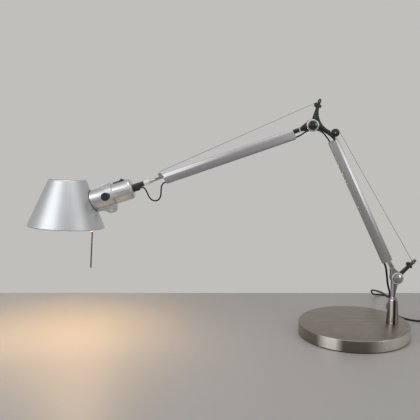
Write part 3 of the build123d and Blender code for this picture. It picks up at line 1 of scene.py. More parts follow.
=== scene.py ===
"""Looks of a spring-balanced desk lamp: turned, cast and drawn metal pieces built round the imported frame.

Metres, in the frame of the CAD: the base's underside is z = 0, +X runs from the head to the stem and the
viewer stands on the -Y side. Arm frames: x along the arm, z towards its cable, y towards the viewer.
Outlines of plates are (x, z) points, profiles of turned pieces (along, radius) and sections (y, z).
"""

import math

import bpy
from mathutils import Matrix, Vector


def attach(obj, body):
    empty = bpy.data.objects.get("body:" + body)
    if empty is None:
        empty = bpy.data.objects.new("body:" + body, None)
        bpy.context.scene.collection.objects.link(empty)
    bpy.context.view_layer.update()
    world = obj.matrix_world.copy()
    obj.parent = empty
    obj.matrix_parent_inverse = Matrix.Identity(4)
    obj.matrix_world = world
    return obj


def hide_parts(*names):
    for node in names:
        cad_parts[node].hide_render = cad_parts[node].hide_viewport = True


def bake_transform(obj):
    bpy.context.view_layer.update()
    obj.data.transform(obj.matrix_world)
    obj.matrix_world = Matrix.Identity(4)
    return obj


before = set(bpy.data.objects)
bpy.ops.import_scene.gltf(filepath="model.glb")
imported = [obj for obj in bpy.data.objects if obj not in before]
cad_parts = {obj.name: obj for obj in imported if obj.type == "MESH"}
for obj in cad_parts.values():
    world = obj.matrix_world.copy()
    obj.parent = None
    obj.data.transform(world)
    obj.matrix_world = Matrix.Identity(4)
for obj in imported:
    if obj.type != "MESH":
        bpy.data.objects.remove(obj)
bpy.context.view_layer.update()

# ---- sizes, in metres -------------------------------------------------------------------------------
# Base, stem and pivots; a lever's sizes are its length, its angle and where its cable eye sits.
BASE_R = 0.115
BASE_TOP = 0.0254
COVER_WALL = 0.0015
PAD_T = 0.0018
STEM_X = 0.081
CONE_FOOT_R = 0.0132
CONE_TOP_R = 0.0099
CONE_TOP = 0.0764
CAST_FOOT = 0.07775
BASE_PIVOT = Vector((0.0855, 0, 0.1219))
EYE_R = 0.0127
EYE_HALF = 0.004
CHEEK_IN = 0.00415
CHEEK_OUT = 0.00715
CHEEK_R = 0.0117
PIN_R = 0.004
RIM_R = 0.0125
RIM_T = 0.0034
DOME_R = 0.0088
DOME_RISE = 0.0024
LEVER_HALF = 0.003
LEVER_ROOT_R = 0.0046
LEVER_TIP_R = 0.0027
LEVER_EYE_R = 0.0036
BASE_LEVER = (0.0543, 44.7, 0.0464)
ELBOW_LEVER = (0.0546, 41.4, 0.050)

# Arms; a tube's sizes are its start along its arm and its drop below the arm's line.
LOWER_LEAN = 25.67
UPPER_SLOPE = 19.03
ELBOW_ALONG = 0.3621
ELBOW_DROP = 0.0287
TUBE_LENGTH = 0.2755
TUBE_HALF = 0.011
TUBE_SIDE = 0.0065
TUBE_WALL = 0.0014
CORD_SIDE_R = 0.0044
SHOULDER_FALL = 0.0072
CROWN_SHARE = 0.45
CHANNEL_R = 0.0025
CHANNEL_DROP = 0.0067
LOWER_TUBE = (0.0405, 0.0036)
UPPER_TUBE = (0.0397, 0.0053)

# Play of a pin in its hole, and how far cutting pieces run past what they cut.
PIN_PLAY = 0.00005
HOLE_REACH = 0.02
PAST = 0.001

# Head and wrist; the screw's place is in the head's frame.
HEAD_ROLL = 4.5
HEAD_TILT = 1.73
TILT_AT = 0.4417
HEAD_OFFSET = 0.026
HOLDER_R = 0.0214
HOLDER_REAR = 0.055
HOLDER_STEP = 0.0142
NECK_TUBE_R = 0.0186
NECK_TUBE_END = 0.042
SHADE_AT = 0.0867
SHADE_LIFT = 0.0121
SHADE_LEAN = 20.1
SHADE_H = 0.098
SHADE_TOP_R = 0.0384
SHADE_RIM_R = 0.0786
SHADE_WALL = 0.0012
SHADE_SLOPE = math.atan2(SHADE_RIM_R - SHADE_TOP_R, SHADE_H)
SCREW_X = 0.0011
SCREW_Z = -0.0318
SLEEVE_END = 0.3845
SLOT_DEEP = 0.012
SHANK_BORE = 0.00305
BAR_HALF = 0.0041
BAR_T = 0.003
WASHER_GAP = 0.00165
BOLT_HOLE_R = 0.00255
GLAND_DROP = 0.004
GLAND_LENGTH = 0.0135
GLAND_NECK_R = 0.0028
GLAND_LEAD_RUN = 0.0055

# Leads; the coil's half turns are counted in each layer.
MAINS_D = 0.0042
ARM_LEAD_D = 0.003
HEAD_LEAD_D = 0.003
COIL_X = 0.206
COIL_Y = 0.0473
COIL_OUTER_R = 0.0277
COIL_PITCH = 0.0048
COIL_LAYERS = 4
COIL_HALF_TURNS = 4
COIL_CLIMB_EASE = 0.002
COIL_STEPS = 8
TAIL_RUN = 0.010
TAIL_BEND_R = 0.018
TAIL_CLIMB = 0.0093

# Routes of the leads, given point by point.
DROP_ROUTE = [
    (0.05867, 0, 0.15394), (0.0630, 0, 0.14493), (0.0665, 0.0035, 0.1260), (0.0706, 0.0085, 0.1040),
    (0.0748, 0.01275, 0.0935),
]
LEAD_ROUTE = [
    (0.0748, 0.01275, 0.0935), (0.0790, 0.017, 0.083), (0.0815, 0.028, 0.0705), (0.0818, 0.050, 0.0665),
    (0.0824, 0.082, 0.0645), (0.0830, 0.122, 0.057), (0.0820, 0.165, 0.048), (0.0860, 0.202, 0.036),
    (0.0980, 0.234, 0.020), (0.1095, 0.261, 0.009), (0.1210, 0.280, 0.0034), (0.1425, 0.2805, 0.0021),
    (0.1545, 0.262, 0.0021), (0.1450, 0.239, 0.0021), (0.1330, 0.213, 0.0021), (0.1220, 0.187, 0.0021),
    (0.1180, 0.160, 0.0021), (0.1210, 0.130, 0.0021), (0.1300, 0.100, 0.0021), (0.1500, 0.080, 0.0021),
    (0.1720, 0.075, 0.0021),
]
ELBOW_ROUTE = [
    (-0.0607, 0, 0.4022), (-0.0629, 0, 0.4067), (-0.0665, 0.005, 0.4118), (-0.0715, 0.0108, 0.4196),
    (-0.0805, 0.016, 0.4256), (-0.0935, 0.0185, 0.4275), (-0.1065, 0.014, 0.4236), (-0.1165, 0.0055, 0.4178),
    (-0.1232, 0, 0.4141), (-0.1308, 0, 0.4115),
]
HEAD_ROUTE = [
    (-0.3913, 0, 0.3217), (-0.3965, 0, 0.3199), (-0.4010, 0.001, 0.3135), (-0.4018, 0.0025, 0.3035),
    (-0.4026, 0.005, 0.2930), (-0.4065, 0.0085, 0.2845), (-0.4145, 0.0125, 0.2806), (-0.4235, 0.0165, 0.2830),
    (-0.4295, 0.020, 0.2905), (-0.4330, 0.0226, 0.2988), (-0.4378, 0.0248, 0.3065),
]


# ---- frames -----------------------------------------------------------------------------------------
def arm_frame(pivot, lean):
    """Frame of an arm at its lower pivot."""
    turn = math.radians(lean)
    along = Vector((-math.sin(turn), 0, math.cos(turn)))
    across = Vector((along.z, 0, -along.x))
    return Matrix.Translation(pivot) @ Matrix((along, across.cross(along), across)).transposed().to_4x4()


def turn_about(axis, degrees):
    return Matrix.Rotation(math.radians(degrees), 4, axis)


def shift(x=0.0, y=0.0, z=0.0):
    return Matrix.Translation((x, y, z))


LOWER = arm_frame(BASE_PIVOT, LOWER_LEAN)
ELBOW = LOWER @ shift(ELBOW_ALONG, 0, -ELBOW_DROP)
UPPER = arm_frame(ELBOW.translation, 90 + UPPER_SLOPE)
STEM = shift(*BASE_PIVOT)
WRIST = UPPER @ turn_about("X", HEAD_ROLL)
TILT = WRIST @ shift(TILT_AT) @ turn_about("Y", -HEAD_TILT)
HEAD = TILT @ shift(0, -HEAD_OFFSET, 0)
SHADE = HEAD @ shift(SHADE_AT, 0, SHADE_LIFT) @ turn_about("Y", -SHADE_LEAN)
WORLD = Matrix.Identity(4)


# ---- shader maths -----------------------------------------------------------------------------------
class Value:
    """An output of a node, so that sums and products read as plain expressions."""

    def __init__(self, nodes, socket):
        self.nodes = nodes
        self.socket = socket

    def maths(self, operation, *terms):
        return self.nodes.node("ShaderNodeMath", {"operation": operation}, dict(enumerate(terms)))

    def __add__(self, other):
        return self.maths("ADD", self, other)

    def __sub__(self, other):
        return self.maths("SUBTRACT", self, other)

    def __rsub__(self, other):
        return self.maths("SUBTRACT", other, self)

    def __mul__(self, other):
        return self.maths("MULTIPLY", self, other)

    __radd__ = __add__
    __rmul__ = __mul__


class Nodes:
    """The nodes of a material or of the world, made one by one."""

    def __init__(self, owner):
        owner.use_nodes = True
        self.tree = owner.node_tree
        self.tree.nodes.clear()

    def node(self, kind, settings=None, inputs=None, output=0):
        made = self.tree.nodes.new(kind)
        for name, setting in (settings or {}).items():
            if name == "stops":
                self.set_stops(made.color_ramp, setting)
            else:
                setattr(made, name, setting)
        for key, value in (inputs or {}).items():
            if isinstance(value, Value):
                self.tree.links.new(value.socket, made.inputs[key])
            else:
                made.inputs[key].default_value = value
        return Value(self, made.outputs[output]) if made.outputs else made

    @staticmethod
    def set_stops(ramp, stops):
        while len(ramp.elements) < len(stops):
            ramp.elements.new(1.0)
        for element, (position, level) in zip(ramp.elements, stops):
            element.position = position
            element.color = (level, level, level, 1)


class Finish(Nodes):
    """A material with its patterns."""

    def __init__(self, name):
        self.material = bpy.data.materials.new(name)
        super().__init__(self.material)

    def place(self, stretch=(1, 1, 1), into=WORLD):
        """Coordinates of a piece in a frame, stretched along that frame's axes."""
        spot = self.node("ShaderNodeTexCoord", output="Object")
        back = into.inverted()
        turned = self.node(
            "ShaderNodeMapping",
            {"vector_type": "POINT"},
            {"Vector": spot, "Location": back.translation, "Rotation": back.to_euler()},
        )
        return self.node("ShaderNodeVectorMath", {"operation": "MULTIPLY"}, {0: turned, 1: stretch})

    def noise(self, place, scale, detail):
        return self.node(
            "ShaderNodeTexNoise",
            inputs={"Vector": place, "Scale": scale, "Detail": detail, "Roughness": 0.55},
        )

    def bands(self, place, axis, stops):
        """Levels across one axis of a place, between the first stop and the last."""
        first, last = stops[0][0], stops[-1][0]
        spot = self.node("ShaderNodeSeparateXYZ", inputs={0: place}, output="XYZ".index(axis))
        across = self.node("ShaderNodeMapRange", inputs={"Value": spot, "From Min": first, "From Max": last})
        shares = [((at - first) / (last - first), level) for at, level in stops]
        return self.node("ShaderNodeValToRGB", {"stops": shares}, {"Fac": across})

    def mixed(self, share, low, high):
        """A colour between two, by share."""
        return self.node(
            "ShaderNodeMix", {"data_type": "RGBA"}, {0: share, 6: (*low, 1), 7: (*high, 1)}, output=2
        )

    def bump(self, height, depth, strength):
        return self.node(
            "ShaderNodeBump", inputs={"Height": height, "Distance": depth, "Strength": strength}
        )

    def surface(self, **sockets):
        names = {name.replace("_", " ").title(): value for name, value in sockets.items()}
        body = self.node("ShaderNodeBsdfPrincipled", inputs=names)
        self.node("ShaderNodeOutputMaterial", inputs={"Surface": body})
        return self.material


def between(share, limits):
    """A number between two limits, by share."""
    low, high = limits
    return share * (high - low) + low


# ---- finishes ---------------------------------------------------------------------------------------
LINE_DETAIL = 3.0
CLOUD_DETAIL = 2.0


def drawn_metal(name, low, high, stretch, into=WORLD, rough=(0.30, 0.42), depth=0.000005):
    """Metal with fine lines along one direction, faint clouding and small changes of gloss."""
    made = Finish(name)
    lines = made.noise(made.place(stretch, into), 1.0, LINE_DETAIL)
    cloud = made.noise(made.place(), 35.0, CLOUD_DETAIL)
    return made.surface(
        base_color=made.mixed(lines * 0.6 + cloud * 0.4, low, high),
        metallic=1.0,
        roughness=between(lines * 0.7 + cloud * 0.3, rough),
        normal=made.bump(lines, depth, 0.2),
    )


def banded_metal(name, stops, low, high, into=WORLD, rough=(0.16, 0.28), reflection_matte=0.0):
    """Bright turned metal with painted reflections in bands across x, and fine lines round it."""
    made = Finish(name)
    # Painted reflection: bright and dark bands along x, painted into the colour in place of the room's
    # reflections.
    painted_reflection = made.bands(made.place(into=into), "X", stops)
    lines = made.noise(made.place((20, 20, 1500), into), 1.0, LINE_DETAIL)
    return made.surface(
        base_color=made.mixed(painted_reflection * 0.94 + lines * 0.06, low, high),
        # Where the painted reflection is bright, the metal turns partly diffuse so that the band catches more
        # light.
        metallic=1.0 - painted_reflection * reflection_matte if reflection_matte else 1.0,
        roughness=between(lines, rough),
        normal=made.bump(lines, 0.000008, 0.2),
    )


def polished(name, low, high, rough=(0.12, 0.24), depth=0.00002):
    """Polished metal with the soft ripple of a cast or ground surface."""
    made = Finish(name)
    ripple = made.noise(made.place(), 160.0, LINE_DETAIL)
    speck = made.noise(made.place(), 900.0, CLOUD_DETAIL)
    return made.surface(
        base_color=made.mixed(ripple, low, high),
        metallic=1.0,
        roughness=between(ripple, rough),
        normal=made.bump(ripple * 0.7 + speck * 0.3, depth, 0.6),
    )


def moulded(name, low, high, rough=(0.38, 0.55), depth=0.00003):
    """Plastic or rubber with a fine moulded grain."""
    made = Finish(name)
    grains = made.noise(made.place(), 2600.0, CLOUD_DETAIL)
    cloud = made.noise(made.place(), 60.0, CLOUD_DETAIL)
    return made.surface(
        base_color=made.mixed(cloud, low, high),
        roughness=between(cloud, rough),
        normal=made.bump(grains, depth, 0.5),
    )


def lit_glass(name, glow):
    """Opal bulb glass with a warm light in it."""
    made = Finish(name)
    cloud = made.noise(made.place(), 50.0, CLOUD_DETAIL)
    return made.surface(
        base_color=made.mixed(cloud, (0.86, 0.84, 0.79), (0.92, 0.90, 0.86)),
        roughness=between(cloud, (0.15, 0.25)),
        emission_color=made.mixed(cloud, (1.0, 0.62, 0.30), (1.0, 0.68, 0.36)),
        emission_strength=glow,
    )


base_metal = drawn_metal(
    "base_metal", (0.15, 0.128, 0.113), (0.47, 0.42, 0.375), (5, 240, 60), rough=(0.30, 0.44), depth=0.00003
)
# Painted reflections: where along x, and how bright. The room's bright and dark reflections are painted in
# bands across the turned pieces.
BASE_SIDE_REFLECTION_BANDS = [
    (-0.115, 0.20), (-0.100, 0.13), (-0.090, 0.12), (-0.082, 0.65), (-0.072, 1.0), (-0.058, 1.0),
    (-0.050, 0.45), (-0.043, 0.06), (0.002, 0.08), (0.032, 0.42), (0.060, 0.72), (0.115, 0.55),
]
CONE_REFLECTION_BANDS = [
    (-0.0132, 0.10), (-0.0080, 0.22), (-0.0062, 0.95), (-0.0034, 1.0), (-0.0022, 0.10), (-0.0010, 0.0),
    (0.0020, 0.0), (0.0036, 0.22), (0.0070, 0.50), (0.0132, 0.28),
]
STEM_REFLECTION_BANDS = [
    (-0.030, 0.8), (-0.0140, 1.0), (-0.0125, 0.10), (-0.0105, 0.05), (-0.0095, 1.0), (-0.0065, 0.9),
    (-0.0050, 0.15), (-0.001, 0.35), (0.006, 0.08), (0.020, 0.0), (0.040, 0.2),
]
# The base's side, the stem's cone and the stem casting carry these painted reflection bands.
base_side_metal = banded_metal(
    "base_side_metal", BASE_SIDE_REFLECTION_BANDS, (0.10, 0.085, 0.072), (1.0, 0.95, 0.90), reflection_matte=0.6
)
cone_metal = banded_metal(
    "cone_metal", CONE_REFLECTION_BANDS, (0.015, 0.012, 0.010), (1.0, 0.95, 0.90), shift(STEM_X), (0.10, 0.2)
)
stem_metal = banded_metal(
    "stem_metal", STEM_REFLECTION_BANDS, (0.05, 0.055, 0.053), (0.74, 0.75, 0.75), STEM, (0.06, 0.16)
)
TUBE_TINTS = (0.42, 0.42, 0.43), (0.50, 0.50, 0.51)
TUBE_LINES = (6, 2400, 2400)
lower_tube_metal = drawn_metal("lower_tube_metal", *TUBE_TINTS, TUBE_LINES, LOWER, depth=0.0000015)
upper_tube_metal = drawn_metal("upper_tube_metal", *TUBE_TINTS, TUBE_LINES, UPPER, depth=0.0000015)
shade_metal = drawn_metal(
    "shade_metal", (0.55, 0.57, 0.595), (0.65, 0.67, 0.695), (20, 20, 2200), SHADE, (0.40, 0.48)
)
shade_lining = moulded("shade_lining", (0.72, 0.71, 0.68), (0.80, 0.79, 0.76), rough=(0.55, 0.7))
holder_metal = drawn_metal(
    "holder_metal", (0.58, 0.59, 0.60), (0.68, 0.69, 0.70), (2200, 20, 20), HEAD, (0.26, 0.34)
)
fork_metal = polished("fork_metal", (0.30, 0.305, 0.30), (0.52, 0.53, 0.53), rough=(0.08, 0.18))
cast_metal = polished("cast_metal", (0.040, 0.046, 0.044), (0.10, 0.11, 0.105), rough=(0.06, 0.14))
bright_metal = polished("bright_metal", (0.62, 0.63, 0.64), (0.76, 0.77, 0.78), rough=(0.06, 0.14))
bar_metal = polished("bar_metal", (0.86, 0.87, 0.88), (0.94, 0.95, 0.96), rough=(0.14, 0.22))
zinc = polished("zinc", (0.38, 0.37, 0.36), (0.52, 0.51, 0.50), rough=(0.25, 0.4))
iron = polished("iron", (0.08, 0.08, 0.085), (0.14, 0.14, 0.145), rough=(0.5, 0.7), depth=0.0001)
spring_steel = polished("spring_steel", (0.30, 0.30, 0.31), (0.45, 0.45, 0.46), rough=(0.2, 0.35))
rod_metal = polished("rod_metal", (0.13, 0.105, 0.085), (0.22, 0.185, 0.155), rough=(0.3, 0.42))
black_plastic = moulded("black_plastic", (0.012, 0.012, 0.013), (0.028, 0.028, 0.030))
acetal = moulded("acetal", (0.84, 0.83, 0.80), (0.90, 0.89, 0.86), rough=(0.22, 0.32))
rubber = moulded("rubber", (0.015, 0.015, 0.016), (0.035, 0.035, 0.037), rough=(0.7, 0.85))
cord_black = moulded("cord_black", (0.004, 0.0035, 0.0035), (0.010, 0.009, 0.009), rough=(0.5, 0.65))
ceramic = moulded("ceramic", (0.76, 0.75, 0.72), (0.84, 0.83, 0.80), rough=(0.15, 0.25), depth=0.00001)
opal_glass = lit_glass("lit_glass", glow=60.0)

# The joint at the stem is bright, the one at the elbow is dark.
JOINT_METAL = {"lower": fork_metal, "upper": cast_metal}


# ---- modelling --------------------------------------------------------------------------------------
def nothing_selected():
    if bpy.context.object and bpy.context.object.mode != "OBJECT":
        bpy.ops.object.mode_set(mode="OBJECT")
    bpy.ops.object.select_all(action="DESELECT")


def only(piece):
    nothing_selected()
    piece.select_set(True)
    bpy.context.view_layer.objects.active = piece


def edit_all(piece):
    only(piece)
    bpy.ops.object.mode_set(mode="EDIT")
    bpy.ops.mesh.select_all(action="SELECT")


def drawn(name, points):
    """A piece of one chain of edges, drawn point by point and left open in edit mode."""
    nothing_selected()
    bpy.ops.mesh.primitive_plane_add(size=0.001, location=(0, 0, 0))
    piece = bpy.context.object
    piece.name = name
    bpy.ops.object.mode_set(mode="EDIT")
    bpy.ops.mesh.merge(type="CENTER")
    bpy.ops.transform.translate(value=points[0])
    for before, here in zip(points, points[1:]):
        step = Vector(here) - Vector(before)
        bpy.ops.mesh.extrude_region_move(TRANSFORM_OT_translate={"value": step})
    bpy.ops.mesh.select_all(action="SELECT")
    return piece


def faced_out():
    bpy.ops.mesh.select_all(action="SELECT")
    bpy.ops.mesh.remove_doubles(threshold=1e-7)
    bpy.ops.mesh.normals_make_consistent(inside=False)
    bpy.ops.object.mode_set(mode="OBJECT")


def plate(name, outline, half, middle=0.0):
    """A flat piece: its (x, z) outline closed and drawn out along y."""
    piece = drawn(name, [(x, middle - half, z) for x, z in outline])
    bpy.ops.mesh.edge_face_add()
    bpy.ops.mesh.extrude_region_move(TRANSFORM_OT_translate={"value": (0, 2 * half, 0)})
    faced_out()
    return piece


def section_bar(name, section, start, end):
    """A straight bar: its (y, z) section closed and drawn out along x."""
    piece = drawn(name, [(start, y, z) for y, z in section])
    bpy.ops.mesh.edge_face_add()
    bpy.ops.mesh.extrude_region_move(TRANSFORM_OT_translate={"value": (end - start, 0, 0)})
    faced_out()
    return piece


SHARP_ANGLE = 32
TURN_AXES = {"X": (1, 0, 0), "Y": (0, 1, 0), "Z": (0, 0, 1)}


def turned(name, profile, axis="X", steps=72):
    """A lathe piece: its (along, radius) profile spun about an axis."""
    to_point = {
        "X": lambda along, radius: (along, 0, radius),
        "Y": lambda along, radius: (radius, along, 0),
        "Z": lambda along, radius: (radius, 0, along),
    }[axis]
    piece = drawn(name, [to_point(along, radius) for along, radius in profile])
    bpy.ops.mesh.spin(steps=steps, angle=math.tau, center=(0, 0, 0), axis=TURN_AXES[axis])
    faced_out()
    return piece


def ring_profile(profile):
    """A closed loop of profile points, for a turned piece with a bore."""
    return [*profile, profile[0]]


def arc(centre, radius, start, end, count=8):
    """Points on an arc, angles in degrees."""
    steps = [start + (end - start) * i / count for i in range(count + 1)]
    return [
        (centre[0] + radius * math.cos(math.radians(a)), centre[1] + radius * math.sin(math.radians(a)))
        for a in steps
    ]


def bow(start, middle, end, count=12):
    """Points on the arc through three points."""
    (ax, ay), (bx, by), (cx, cy) = start, middle, end
    spread = 2 * (ax * (by - cy) + bx * (cy - ay) + cx * (ay - by))
    a2, b2, c2 = ax * ax + ay * ay, bx * bx + by * by, cx * cx + cy * cy
    x = (a2 * (by - cy) + b2 * (cy - ay) + c2 * (ay - by)) / spread
    y = (a2 * (cx - bx) + b2 * (ax - cx) + c2 * (bx - ax)) / spread
    first, mid, last = (math.degrees(math.atan2(q - y, p - x)) for p, q in (start, middle, end))
    turn = (last - first) % 360
    if (mid - first) % 360 > turn:
        turn -= 360
    return arc((x, y), math.hypot(ax - x, ay - y), first, first + turn, count)


def polar(length, angle):
    return (length * math.cos(math.radians(angle)), length * math.sin(math.radians(angle)))


def blade(root_r, reach, angle, tip_r, count=14):
    """Outline round two circles and the straight sides that touch both."""
    lean = math.degrees(math.acos((root_r - tip_r) / reach))
    tip = arc(polar(reach, angle), tip_r, angle - lean, angle + lean, count)
    return tip + arc((0, 0), root_r, angle + lean, angle + 360 - lean, 2 * count)


def moved(outline, x, z):
    return [(a + x, b + z) for a, b in outline]


def rod(name, radius, start, end, axis="Y", at=(0, 0), sides=48):
    """A round bar along an axis, for a hole or as a start; at gives its place across the axis."""
    turn = {"X": (0, math.pi / 2, 0), "Y": (math.pi / 2, 0, 0), "Z": (0, 0, 0)}[axis]
    middle = (start + end) / 2
    place = {
        "X": (middle, at[0], at[1]),
        "Y": (at[0], middle, at[1]),
        "Z": (at[0], at[1], middle),
    }[axis]
    nothing_selected()
    bpy.ops.mesh.primitive_cylinder_add(
        vertices=sides, radius=radius, depth=end - start, location=place, rotation=turn
    )
    piece = bpy.context.object
    piece.name = name
    apply_place(piece)
    return piece


def block(name, low, high):
    """A box between two corners."""
    nothing_selected()
    bpy.ops.mesh.primitive_cube_add(size=1, location=[(a + b) / 2 for a, b in zip(low, high)])
    piece = bpy.context.object
    piece.name = name
    piece.scale = [b - a for a, b in zip(low, high)]
    apply_place(piece)
    return piece


def apply_place(piece):
    only(piece)
    bpy.ops.object.transform_apply(location=True, rotation=True, scale=True)


def put(piece, place):
    """The piece set down in a frame, its place in its mesh."""
    piece.matrix_world = place
    bpy.context.view_layer.update()
    apply_place(piece)
    return piece


def finished_by(piece, kind, **settings):
    """One modifier, set and applied."""
    only(piece)
    modifier = piece.modifiers.new(kind.lower(), kind)
    for name, setting in settings.items():
        setattr(modifier, name, setting)
    bpy.ops.object.modifier_apply(modifier=modifier.name)
    return piece


def soft(piece, width, segments=3, angle=SHARP_ANGLE):
    """Its edges rounded."""
    return finished_by(
        piece, "BEVEL", width=width, segments=segments, limit_method="ANGLE", angle_limit=math.radians(angle)
    )


def cut(piece, *tools):
    for tool in tools:
        finished_by(piece, "BOOLEAN", operation="DIFFERENCE", solver="EXACT", object=tool)
        bpy.data.objects.remove(tool)
    return piece


def joined(piece, *others):
    for other in others:
        finished_by(piece, "BOOLEAN", operation="UNION", solver="EXACT", object=other)
        bpy.data.objects.remove(other)
    return piece


def mirrored(piece, name):
    """The same piece on the other side of the arm's plane."""
    only(piece)
    bpy.ops.object.duplicate()
    twin = bpy.context.object
    twin.name = name
    bpy.ops.object.mode_set(mode="EDIT")
    bpy.ops.mesh.select_all(action="SELECT")
    bpy.ops.transform.mirror(constraint_axis=(False, True, False), center_override=(0, 0, 0))
    faced_out()
    return twin


def as_one(piece, *others):
    """Separate solids of one sub-part kept in one object."""
    only(piece)
    for other in others:
        other.select_set(True)
    bpy.ops.object.join()
    return piece


def done(piece, place, body, material, slot, *nodes):
    """A finished piece: set down, shaded, painted, riding on its body and standing for its nodes."""
    put(piece, place)
    bpy.ops.object.shade_smooth_by_angle(angle=math.radians(SHARP_ANGLE))
    if material:
        piece.data.materials.clear()
        piece.data.materials.append(material)
    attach(piece, body)
    if nodes:
        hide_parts(*nodes)
    return piece


def also_painted(piece, material, chosen):
    """A second finish, on the faces that a test picks."""
    piece.data.materials.append(material)
    for face in piece.data.polygons:
        if chosen(face):
            face.material_index = 1


# ---- camera, light and floor ------------------------------------------------------------------------
WALL_COLOUR = (0.533, 0.521, 0.503, 1)
FLOOR_COLOUR = (0.455, 0.440, 0.420)
FLOOR_SIZE = 8
DESK_EDGE_Y = 0.306


def set_camera():
    camera = bpy.data.cameras.new("camera")
    camera.lens = 54.86
    camera.sensor_width = 36
    camera.clip_start = 0.02
    stand = bpy.data.objects.new("camera", camera)
    stand.location = (-0.30205, -1.29403, 0.46457)
    stand.rotation_euler = (math.radians(81.193), 0, 0)
    bpy.context.scene.collection.objects.link(stand)
    bpy.context.scene.camera = stand


def lamp(name, at, aim, size, watts, colour=(1, 1, 1)):
    """A soft rectangular studio lamp."""
    data = bpy.data.lights.new(name, "AREA")
    data.shape = "RECTANGLE"
    data.size, data.size_y = size
    data.energy = watts
    data.color = colour
    light = bpy.data.objects.new(name, data)
    light.location = at
    light.rotation_euler = (Vector(aim) - Vector(at)).to_track_quat("-Z", "Y").to_euler()
    bpy.context.scene.collection.objects.link(light)


def set_world():
    """Pale wall for the camera and for reflections, a soft plain light for everything else."""
    world = bpy.data.worlds.new("studio")
    bpy.context.scene.world = world
    nodes = Nodes(world)
    seen = nodes.node("ShaderNodeLightPath", output="Is Camera Ray")
    for name in ("Is Glossy Ray", "Is Transmission Ray"):
        seen = seen.maths("MAXIMUM", seen, nodes.node("ShaderNodeLightPath", output=name))
    light = nodes.node("ShaderNodeBackground", inputs={"Color": (1, 1, 1, 1), "Strength": 0.35})
    wall = nodes.node("ShaderNodeBackground", inputs={"Color": WALL_COLOUR})
    either = nodes.node("ShaderNodeMixShader", inputs={0: seen, 1: light, 2: wall})
    nodes.node("ShaderNodeOutputWorld", inputs={"Surface": either})


def set_floor():
    nothing_selected()
    bpy.ops.mesh.primitive_plane_add(size=FLOOR_SIZE, location=(0, DESK_EDGE_Y - FLOOR_SIZE / 2, 0))
    floor = bpy.context.object
    floor.name = "desk_top"
    apply_place(floor)
    made = Finish("desk_top")
    cloud = made.noise(made.place(), 3.0, CLOUD_DETAIL)
    dimmed = [level * 0.98 for level in FLOOR_COLOUR]
    floor.data.materials.append(
        made.surface(base_color=made.mixed(cloud, dimmed, FLOOR_COLOUR), roughness=0.45)
    )


set_camera()
set_world()
set_floor()
bpy.context.scene.view_settings.view_transform = "Standard"
lamp("left_window", (-1.6, -0.9, 1.1), (-0.35, 0, 0.25), (1.3, 1.5), 10, (0.96, 0.98, 1.0))
lamp("top_panel", (-0.2, -0.3, 1.7), (-0.2, 0, 0.1), (1.4, 0.9), 6)
lamp("right_fill", (1.4, -1.2, 0.9), (0, 0, 0.25), (0.7, 1.1), 6, (1.0, 0.98, 0.95))


# ---- leads ------------------------------------------------------------------------------------------
def route_curve(name, points, radius=0.0):
    """One open smooth line with these points as its control points."""
    data = bpy.data.curves.new(name, "CURVE")
    data.dimensions = "3D"
    data.resolution_u = 10
    data.bevel_depth = radius
    data.bevel_resolution = 5
    data.use_fill_caps = radius > 0
    spline = data.splines.new("NURBS")
    spline.points.add(len(points) - 1)
    for point, at in zip(spline.points, points):
        point.co = (*at, 1)
    spline.order_u = 3
    spline.use_endpoint_u = True
    curve = bpy.data.objects.new(name, data)
    bpy.context.scene.collection.objects.link(curve)
    return curve


def line_of(points):
    """The places along the smooth line of a route."""
    bare = route_curve("bare_route", points)
    mesh = bpy.data.meshes.new_from_object(bare)
    line = [v.co.copy() for v in mesh.vertices]
    bpy.data.objects.remove(bare)
    bpy.data.meshes.remove(mesh)
    return line


def lead(name, points, diameter):
    """A round lead along its route, as a mesh."""
    curve = route_curve(name, points, diameter / 2)
    only(curve)
    bpy.ops.object.convert(target="MESH")
    tube = bpy.context.object
    edit_all(tube)
    faced_out()
    bpy.ops.object.shade_smooth_by_angle(angle=math.radians(50))
    tube.data.materials.clear()
    tube.data.materials.append(cord_black)
    return tube


def half_turn(middle, radius, side, low, high):
    """Route points of half a turn that climbs from low to high, set wide enough for the line's radius."""
    wide = radius / math.cos(math.pi / COIL_STEPS / 2)
    points = []
    for i in range(COIL_STEPS):
        share = (i + 0.5) / COIL_STEPS
        x = middle[0] + side * wide * math.sin(math.pi * share)
        y = middle[1] + side * wide * math.cos(math.pi * share)
        points.append((x, y, low + (high - low) * share))
    return points


def coil_ends():
    """Where each half turn ends: distance from the coil's middle, side and height."""
    offset, side, z = COIL_OUTER_R, 1, MAINS_D / 2
    ends = [(offset, side, z)]
    for layer in range(COIL_LAYERS):
        inwards = layer % 2 == 0
        for _ in range(COIL_HALF_TURNS):
            side = -side
            offset += -COIL_PITCH / 2 if inwards else COIL_PITCH / 2
            ends.append((offset, side, z))
        if layer < COIL_LAYERS - 1:
            side = -side
            z += COIL_PITCH
            ease = -COIL_CLIMB_EASE if inwards else COIL_CLIMB_EASE
            ends.append((offset + ease, side, z))
    return ends


def coil_route():
    """Piled turns, each half turn an arc whose centre lies on the coil's middle line, then the tail."""
    ends = coil_ends()
    points = []
    for (offset, side, low), (next_offset, next_side, high) in zip(ends, ends[1:]):
        y, next_y = side * offset, next_side * next_offset
        middle = (COIL_X, COIL_Y + (y + next_y) / 2)
        points += half_turn(middle, abs(next_y - y) / 2, side, low, high)
    offset, side, z = ends[-1]
    y = COIL_Y + side * offset
    tail_x = COIL_X - TAIL_RUN
    top = z + TAIL_CLIMB
    points += [(COIL_X, y, z), (tail_x, y, z)]
    points += half_turn((tail_x, y + TAIL_BEND_R), TAIL_BEND_R, -1, z, top)
    points += [(tail_x, y + 2 * TAIL_BEND_R, top), (tail_x + MAINS_D, y + 2 * TAIL_BEND_R, top)]
    return points


